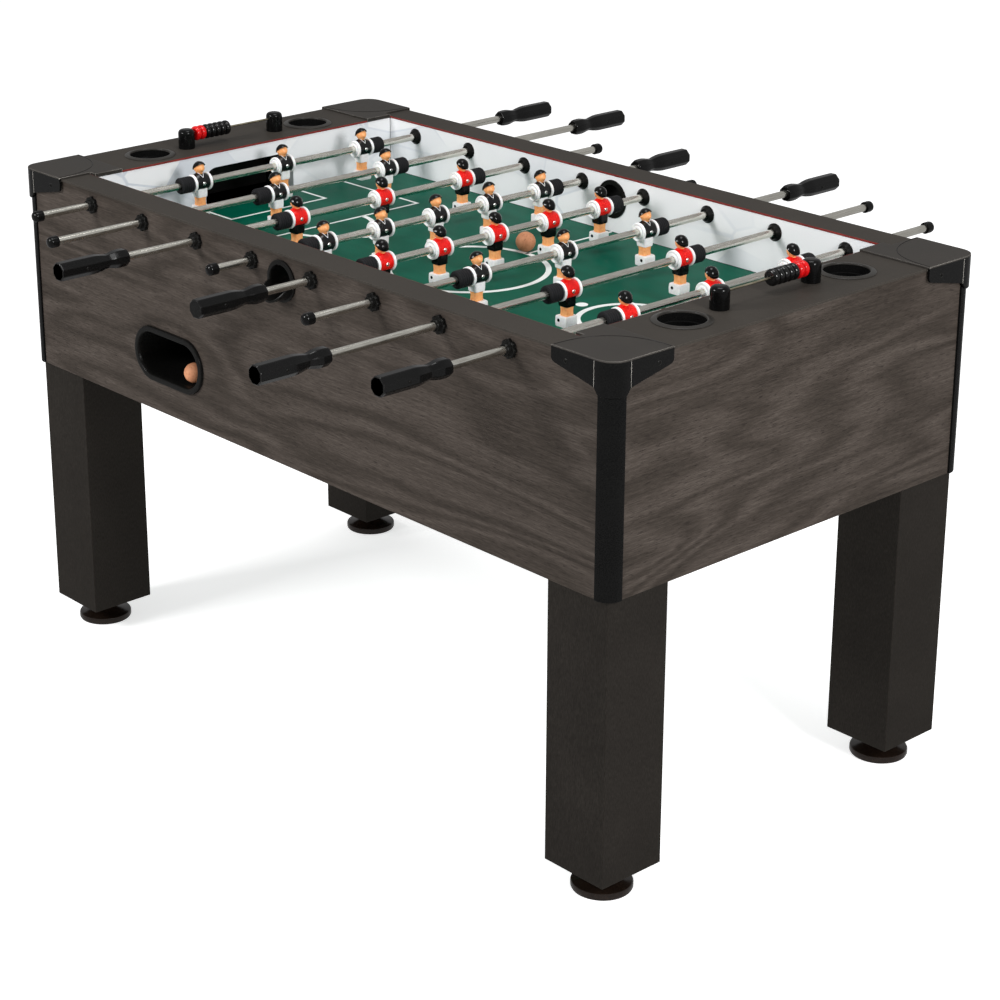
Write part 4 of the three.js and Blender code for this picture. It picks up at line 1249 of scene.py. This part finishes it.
def shirtShape():
    p = player
    shape = newShape()
    half = p["half"] - p["discThick"]
    count = 36
    rings = []
    for y in [-half, -half + 1.2, -10.5, -7.5, -4.5, -1.5, 1.5, 4.5, 7.5, 10.5, half - 1.2, half]:
        ring = []
        edge = 0.6 if abs(y) > half - 0.1 else 0.0
        for k in range(count):
            a = math.tau * k / count
            up = math.exp(-((a - math.pi / 2) / 0.5) ** 2)
            swell = 0.5 * math.cos(y / half * math.pi / 2)
            r = p["shirt"] - edge + swell + up * (p["neck"] - p["shirt"]) * math.exp(-(y / 8.6) ** 4) * 0.9
            flat = 0.94 if math.sin(a) < 0 else 1.0
            ring.append((r * math.cos(a), y, r * math.sin(a) * flat))
        rings.append(ring)
    return addLoft(shape, rings)


def discShape(shape):
    p = player
    for s in (-1, 1):
        out, back = p["half"], p["half"] - p["discThick"]
        profile = [(rodParts["bore"], back), (p["disc"] - 1, back), (p["disc"], back + 0.9),
            (p["disc"], out - 1.7), (p["disc"] - 0.7, out - 0.7), (p["disc"] - 1.8, out - 0.5),
            (p["disc"] - 2.9, out - 1.3), (11.2, out - 1.7), (10.2, out - 0.9), (9.6, out - 0.1),
            (rodParts["bore"], out)]
        addTurned(shape, [(r, s * y) for r, y in profile], axis="Y", sides=40, closed=True)
    return shape


def bootShape(shape):
    p = player
    sections = [(10.8, 11.2, -0.6, p["legEnd"] + 0.8), (11.8, 12.2, -0.8, p["legEnd"] + 0.2),
        (12.3, 12.7, -1.0, p["legEnd"] - 1.4), (12.7, 12.7, -1.4, p["sole"] + 6), (12.3, 12.3, -1.4,
        p["sole"] + 1.2), (11.6, 11.6, -1.4, p["sole"])]
    return addLoft(shape, [squared(rx, ry, z, 9.0, 32, cx) for rx, ry, cx, z in sections])


def collarShape(shape):
    # two strips that meet in a point on the chest, which faces -x
    p = player
    for s in (-1, 1):
        path = []
        for k in range(9):
            a = math.radians(84 - 40 * k / 8)
            y = s * 5.6 * (1 - k / 8)
            rise = (p["neck"] - p["shirt"]) * 0.9
            r = p["shirt"] + 0.35 + math.exp(-((math.radians(90) - a) / 0.5) ** 2) * rise
            path.append((-r * math.cos(a), y, r * math.sin(a)))
        addTube(shape, path, 0.5, 8)
    return shape


def shortsShape(shape):
    p = player
    sections = [(9.4, 10.0, p["shortsTop"] - 4), (10.8, 10.9, p["shortsTop"] - 8),
        (10.9, 10.6, p["shortsEnd"] + 6), (10.5, 10.3, p["shortsEnd"] + 0.8), (9.9, 9.7, p["shortsEnd"])]
    return addLoft(shape, [squared(rx, ry, z, 5.0, 32, 0.3, 0.06) for rx, ry, z in sections])


def skinShape():
    p = player
    shape = newShape()
    hx, hy, hz = p["head"]
    rings = []
    for k in range(1, 16):
        polar = math.pi * k / 16
        z = math.cos(polar)
        jaw = 1 - 0.2 * max(0.0, -z) ** 1.2
        ring = []
        for i in range(24):
            a = math.tau * i / 24
            x, y = math.sin(polar) * math.cos(a) * hx * jaw, math.sin(polar) * math.sin(a) * hy * jaw
            # nose and chin on the -x side
            front = math.exp(-((abs(a - math.pi)) / 0.34) ** 2)
            nose = 2.2 * front * math.exp(-((z + 0.12) / 0.2) ** 2)
            chin = 0.9 * math.exp(-((abs(a - math.pi)) / 0.6) ** 2) * math.exp(-((z + 0.78) / 0.22) ** 2)
            ring.append((x - nose - chin, y, p["headAt"] + z * hz))
        rings.append(ring)
    addLoft(shape, rings)
    for s in (-1, 1):   # ears
        addTurned(shape, [(0, -1.3), (1.6, -1.0), (2.1, 0), (1.6, 1.0), (0, 1.3)], axis="Y",
            centre=(0.6, s * hy * 0.98, p["headAt"] - 0.4), sides=12)
    addTurned(shape, [(0, 11), (6.4, 11), (6.0, 16), (5.6, 20), (0, 20)], sides=20)
    sections = [(8.0, 8.3, p["shortsEnd"] + 4), (8.0, 8.4, p["shortsEnd"] - 2), (7.5, 7.9, p["shortsEnd"]
        - 8), (7.9, 8.3, p["legEnd"] + 3), (7.7, 8.1, p["legEnd"] - 1)]
    return addLoft(shape, [squared(rx, ry, z, 5.0, 28, 0.2, 0.1) for rx, ry, z in sections])


def hairShape(shape):
    # swept cap with a full back, the small dark eyes and mouth, and a dark disc on each side of the boots
    # that paints the shade of a small moulded recess
    p = player
    hx, hy, hz = p["head"]
    profile = []
    for k in range(11):
        a = math.radians(p["hairReach"] * k / 10)
        profile.append((math.sin(a), math.cos(a), 1.7 + 0.7 * math.sin(a) ** 3))
    profile += [(across, up, 0.2) for across, up, _ in reversed(profile)]
    tilt = Matrix.Rotation(math.radians(p["hairTilt"]), 3, "Y")
    cap, sides = newShape(), 28
    addTurned(cap, [(across, up) for across, up, _ in profile], sides=sides)
    grows = [g for across, _, g in profile for _ in range(sides if across > 0.0001 else 1)]
    for k, (q, g) in enumerate(zip(cap["points"], grows)):
        d = tilt @ q
        crest = 1 + 0.03 * math.sin(6 * math.atan2(d.y, d.x)) * (g > 1)
        cap["points"][k] = Vector((d.x * (hx + g) * crest, d.y * (hy + g) * crest, p["headAt"] + 0.4
            + d.z * (hz + g * 0.8)))
    addPart(shape, cap["points"], cap["faces"])
    for s in (-1, 1):
        eye = Vector((-hx * 0.9, s * 3.0, p["headAt"] + 0.9))
        addTurned(shape, [(0, -0.6), (0.7, -0.45), (0.85, 0), (0.7, 0.45), (0, 0.6)], axis="X",
            centre=eye, sides=10)
        # dark disc on the boot's side: painted shade standing in for a small moulded recess
        spot = Vector((-5.0, s * 12.5, p["legEnd"] - 6.0))
        addTurned(shape, [(0, -0.7), (2.6, -0.7), (2.8, 0.2), (2.3, 0.5), (0, 0.5)]
            if s > 0 else [(0, 0.7), (2.6, 0.7), (2.8, -0.2), (2.3, -0.5), (0, -0.5)], axis="Y",
            centre=spot, sides=14)
    mouth = [(-hx * 0.86 - 0.5 + 0.10 * abs(y) ** 1.5, y, p["headAt"] - 4.4) for y in (-1.9, -0.9, 0, 0.9,
        1.9)]
    return addTube(shape, mouth, 0.22, 6)


def teamMasters(team):
    white = collarShape(bootShape(discShape(newShape())))
    dark = hairShape(newShape())
    shortsShape(dark if team == "red" else white)
    return {"shirts": (master(f"{team}Shirt", shirtShape(), smooth=60), "shirtRed"
        if team == "red" else "shirtBlack", "shirt_red" if team == "red" else "shirt_black"),
        "discs_and_boots": (master(f"{team}White", white, smooth=38), "playerWhite", "player_white"),
        "hair_and_trim": (master(f"{team}Hair", dark, smooth=42), "hairBlack", "player_hair"),
        "skin": (master(f"{team}Skin", skinShape(), smooth=70), "playerSkin", "player_skin"),}


def stopShape():
    # rubber bumper between y 0 and its length, with shallow rings round it
    r, long, bore = rodParts["stopRadius"], rodParts["stopLong"], rodParts["bore"]
    profile = [(bore, 0.0), (r - 1.6, 0.0), (r - 0.5, 0.5), (r, 1.7)]
    for k in range(5):
        y = 4.2 + k * 4.4
        profile += [(r, y - 0.6), (r - 0.7, y), (r, y + 0.6)]
    profile += [(r, long - 2.2), (r - 0.6, long - 0.8), (r - 2.4, long), (bore + 2.4, long),
        (bore, long - 1.4)]
    return addTurned(newShape(), profile, axis="Y", sides=40, closed=True)


gripProfile = [(14.3, 0), (15.2, 0.7), (15.6, 2.6), (15.7, 8), (15.8, 30), (15.8, 62), (15.2, 70),
    (13.7, 79), (12.1, 86), (11.7, 89.5), (12.3, 94), (13.8, 100.5), (15.0, 107), (15.3, 113),
    (15.0, 120), (14.3, 125), (13.1, 127.4), (11.2, 128)]
cornerEase = 0.055
gripAngles = [math.pi / 8 + k * math.pi / 4 + side * cornerEase for k in range(8) for side in (-1, 1)]


def octagon(radius, y):
    # octagon about the y axis with its corners just taken off
    r = radius * math.cos(math.pi / 8) / math.cos(math.pi / 8 - cornerEase)
    return [(r * math.cos(a), y, r * math.sin(a)) for a in gripAngles]


def gripShape():
    rings = [octagon(r, y) for r, y in gripProfile]
    bore, front = rodParts["bore"] + 0.5, rodParts["handleLong"]
    for y in (front, front - rodParts["boreDeep"]):
        rings.append([(bore * math.cos(a), y, bore * math.sin(a)) for a in gripAngles])
    return addLoft(newShape(), rings)


stopMaster = master("stopMaster", stopShape(), smooth=40)
teams = {team: teamMasters(team) for team in ("red", "black")}


def buildRod(number, team, formation):
    count, spacing = formations[formation]
    body, slider = f"rod_{number}", f"rod_{number}_slider"
    isTurned = team == "black"
    flip = -1 if isTurned else 1
    x, z = rodPlaces[number - 1], table["rodHeight"]
    own = {}
    for part, node in (("rod", f"{team}_{formation}"), ("handle", "handle"), ("stop", "bumper")):
        own[part] = sorted(flip * corner.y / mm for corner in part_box(f"rod_{number}_{node}"))
    move = (x, 0, z)
    first = own["stop"][1] + rodParts["stopGap"] + player["half"]
    last = first + (count - 1) * spacing
    handleEnd, capEnd = own["handle"][0], own["rod"][1]
    front = handleEnd + rodParts["handleLong"]
    r = rodParts["radius"]
    c, long = rodParts["cap"], rodParts["capLong"]
    seated, capped = front - rodParts["boreDeep"] + 2, capEnd - long + 5
    tube = addTurned(newShape(), [(0, seated), (r - 0.6, seated), (r, seated + 1), (r, first), (r, last),
        (r, capped - 1), (r - 0.5, capped), (0, capped)], axis="Y", sides=40)
    placePiece(f"rod_{number}_tube", tube, body, "chrome", "rod_chrome",
        [f"rod_{number}_{team}_{formation}"], isTurned, move, smooth=40)
    cap = addTurned(newShape(), [(r + 0.15, capEnd - long), (c - 0.8, capEnd - long),
        (c, capEnd - long + 0.8), (c, capEnd - 6.5), (c - 0.7, capEnd - 3.4), (c - 2.4, capEnd - 1.4),
        (c - 5.2, capEnd - 0.3), (0, capEnd), (0, capEnd - long + 5.2), (r + 0.15, capEnd - long + 5.2)],
        axis="Y", sides=36, closed=True)
    placePiece(f"rod_{number}_end_cap", cap, body, "glossBlack", "black_gloss", (), isTurned, move, smooth=40)
    turn = (0, 0, math.pi if isTurned else 0)
    start = (x, flip * first, z)
    step = (0, flip * spacing, 0)
    for part, (copy, finish, slot) in teams[team].items():
        placeRow(f"rod_{number}_{part}", copy, count, start, step, turn, body, finish)
    # the screw that clamps each player faces +x on every rod
    placeRow(f"rod_{number}_player_screws", playerScrew, count, (x + player["shirt"] + 0.2, flip * first,
        z), step, (0, math.pi / 2, 0), body, "steel")
    outer = last + player["half"] + rodParts["stopGap"]
    placeRow(f"rod_{number}_outer_stop", stopMaster, 1, (x, flip * outer, z), (0, 0, 0),
        (0, 0, 0 if flip > 0 else math.pi), body, "rubber")
    placeRow(f"rod_{number}_inner_stop", stopMaster, 1, (x, flip * own["stop"][1], z), (0, 0, 0),
        (0, 0, math.pi if flip > 0 else 0), slider, "rubber", [f"rod_{number}_bumper"])
    placePiece(f"rod_{number}_grip", gripMaster, body, "handleBlack", "handle_black",
        [f"rod_{number}_handle"], isTurned, (x, flip * handleEnd, z), smooth=20)
    plate = addLoft(newShape(), [octagon(13.6, -0.3), octagon(13.9, 0.1), octagon(13.9, 1.4)])
    placePiece(f"rod_{number}_grip_end", plate, body, "handleEnd", "handle_black", (), isTurned,
        (x, flip * (handleEnd + 0.3), z), smooth=24)
    flat = gripProfile[4][0] * math.cos(math.pi / 8)
    placeRow(f"rod_{number}_grip_screw", smallScrew, 1,
        (x + flat, flip * (handleEnd + rodParts["screwAt"]), z), (0, 0, 0), (0, math.pi / 2, 0), body,
        "satinBlack")


gripMaster = gripShape()
for number, (team, formation) in enumerate(line, 1):
    buildRod(number, team, formation)
print("rods and players built")

for holder in masters:
    bpy.data.objects.remove(holder)
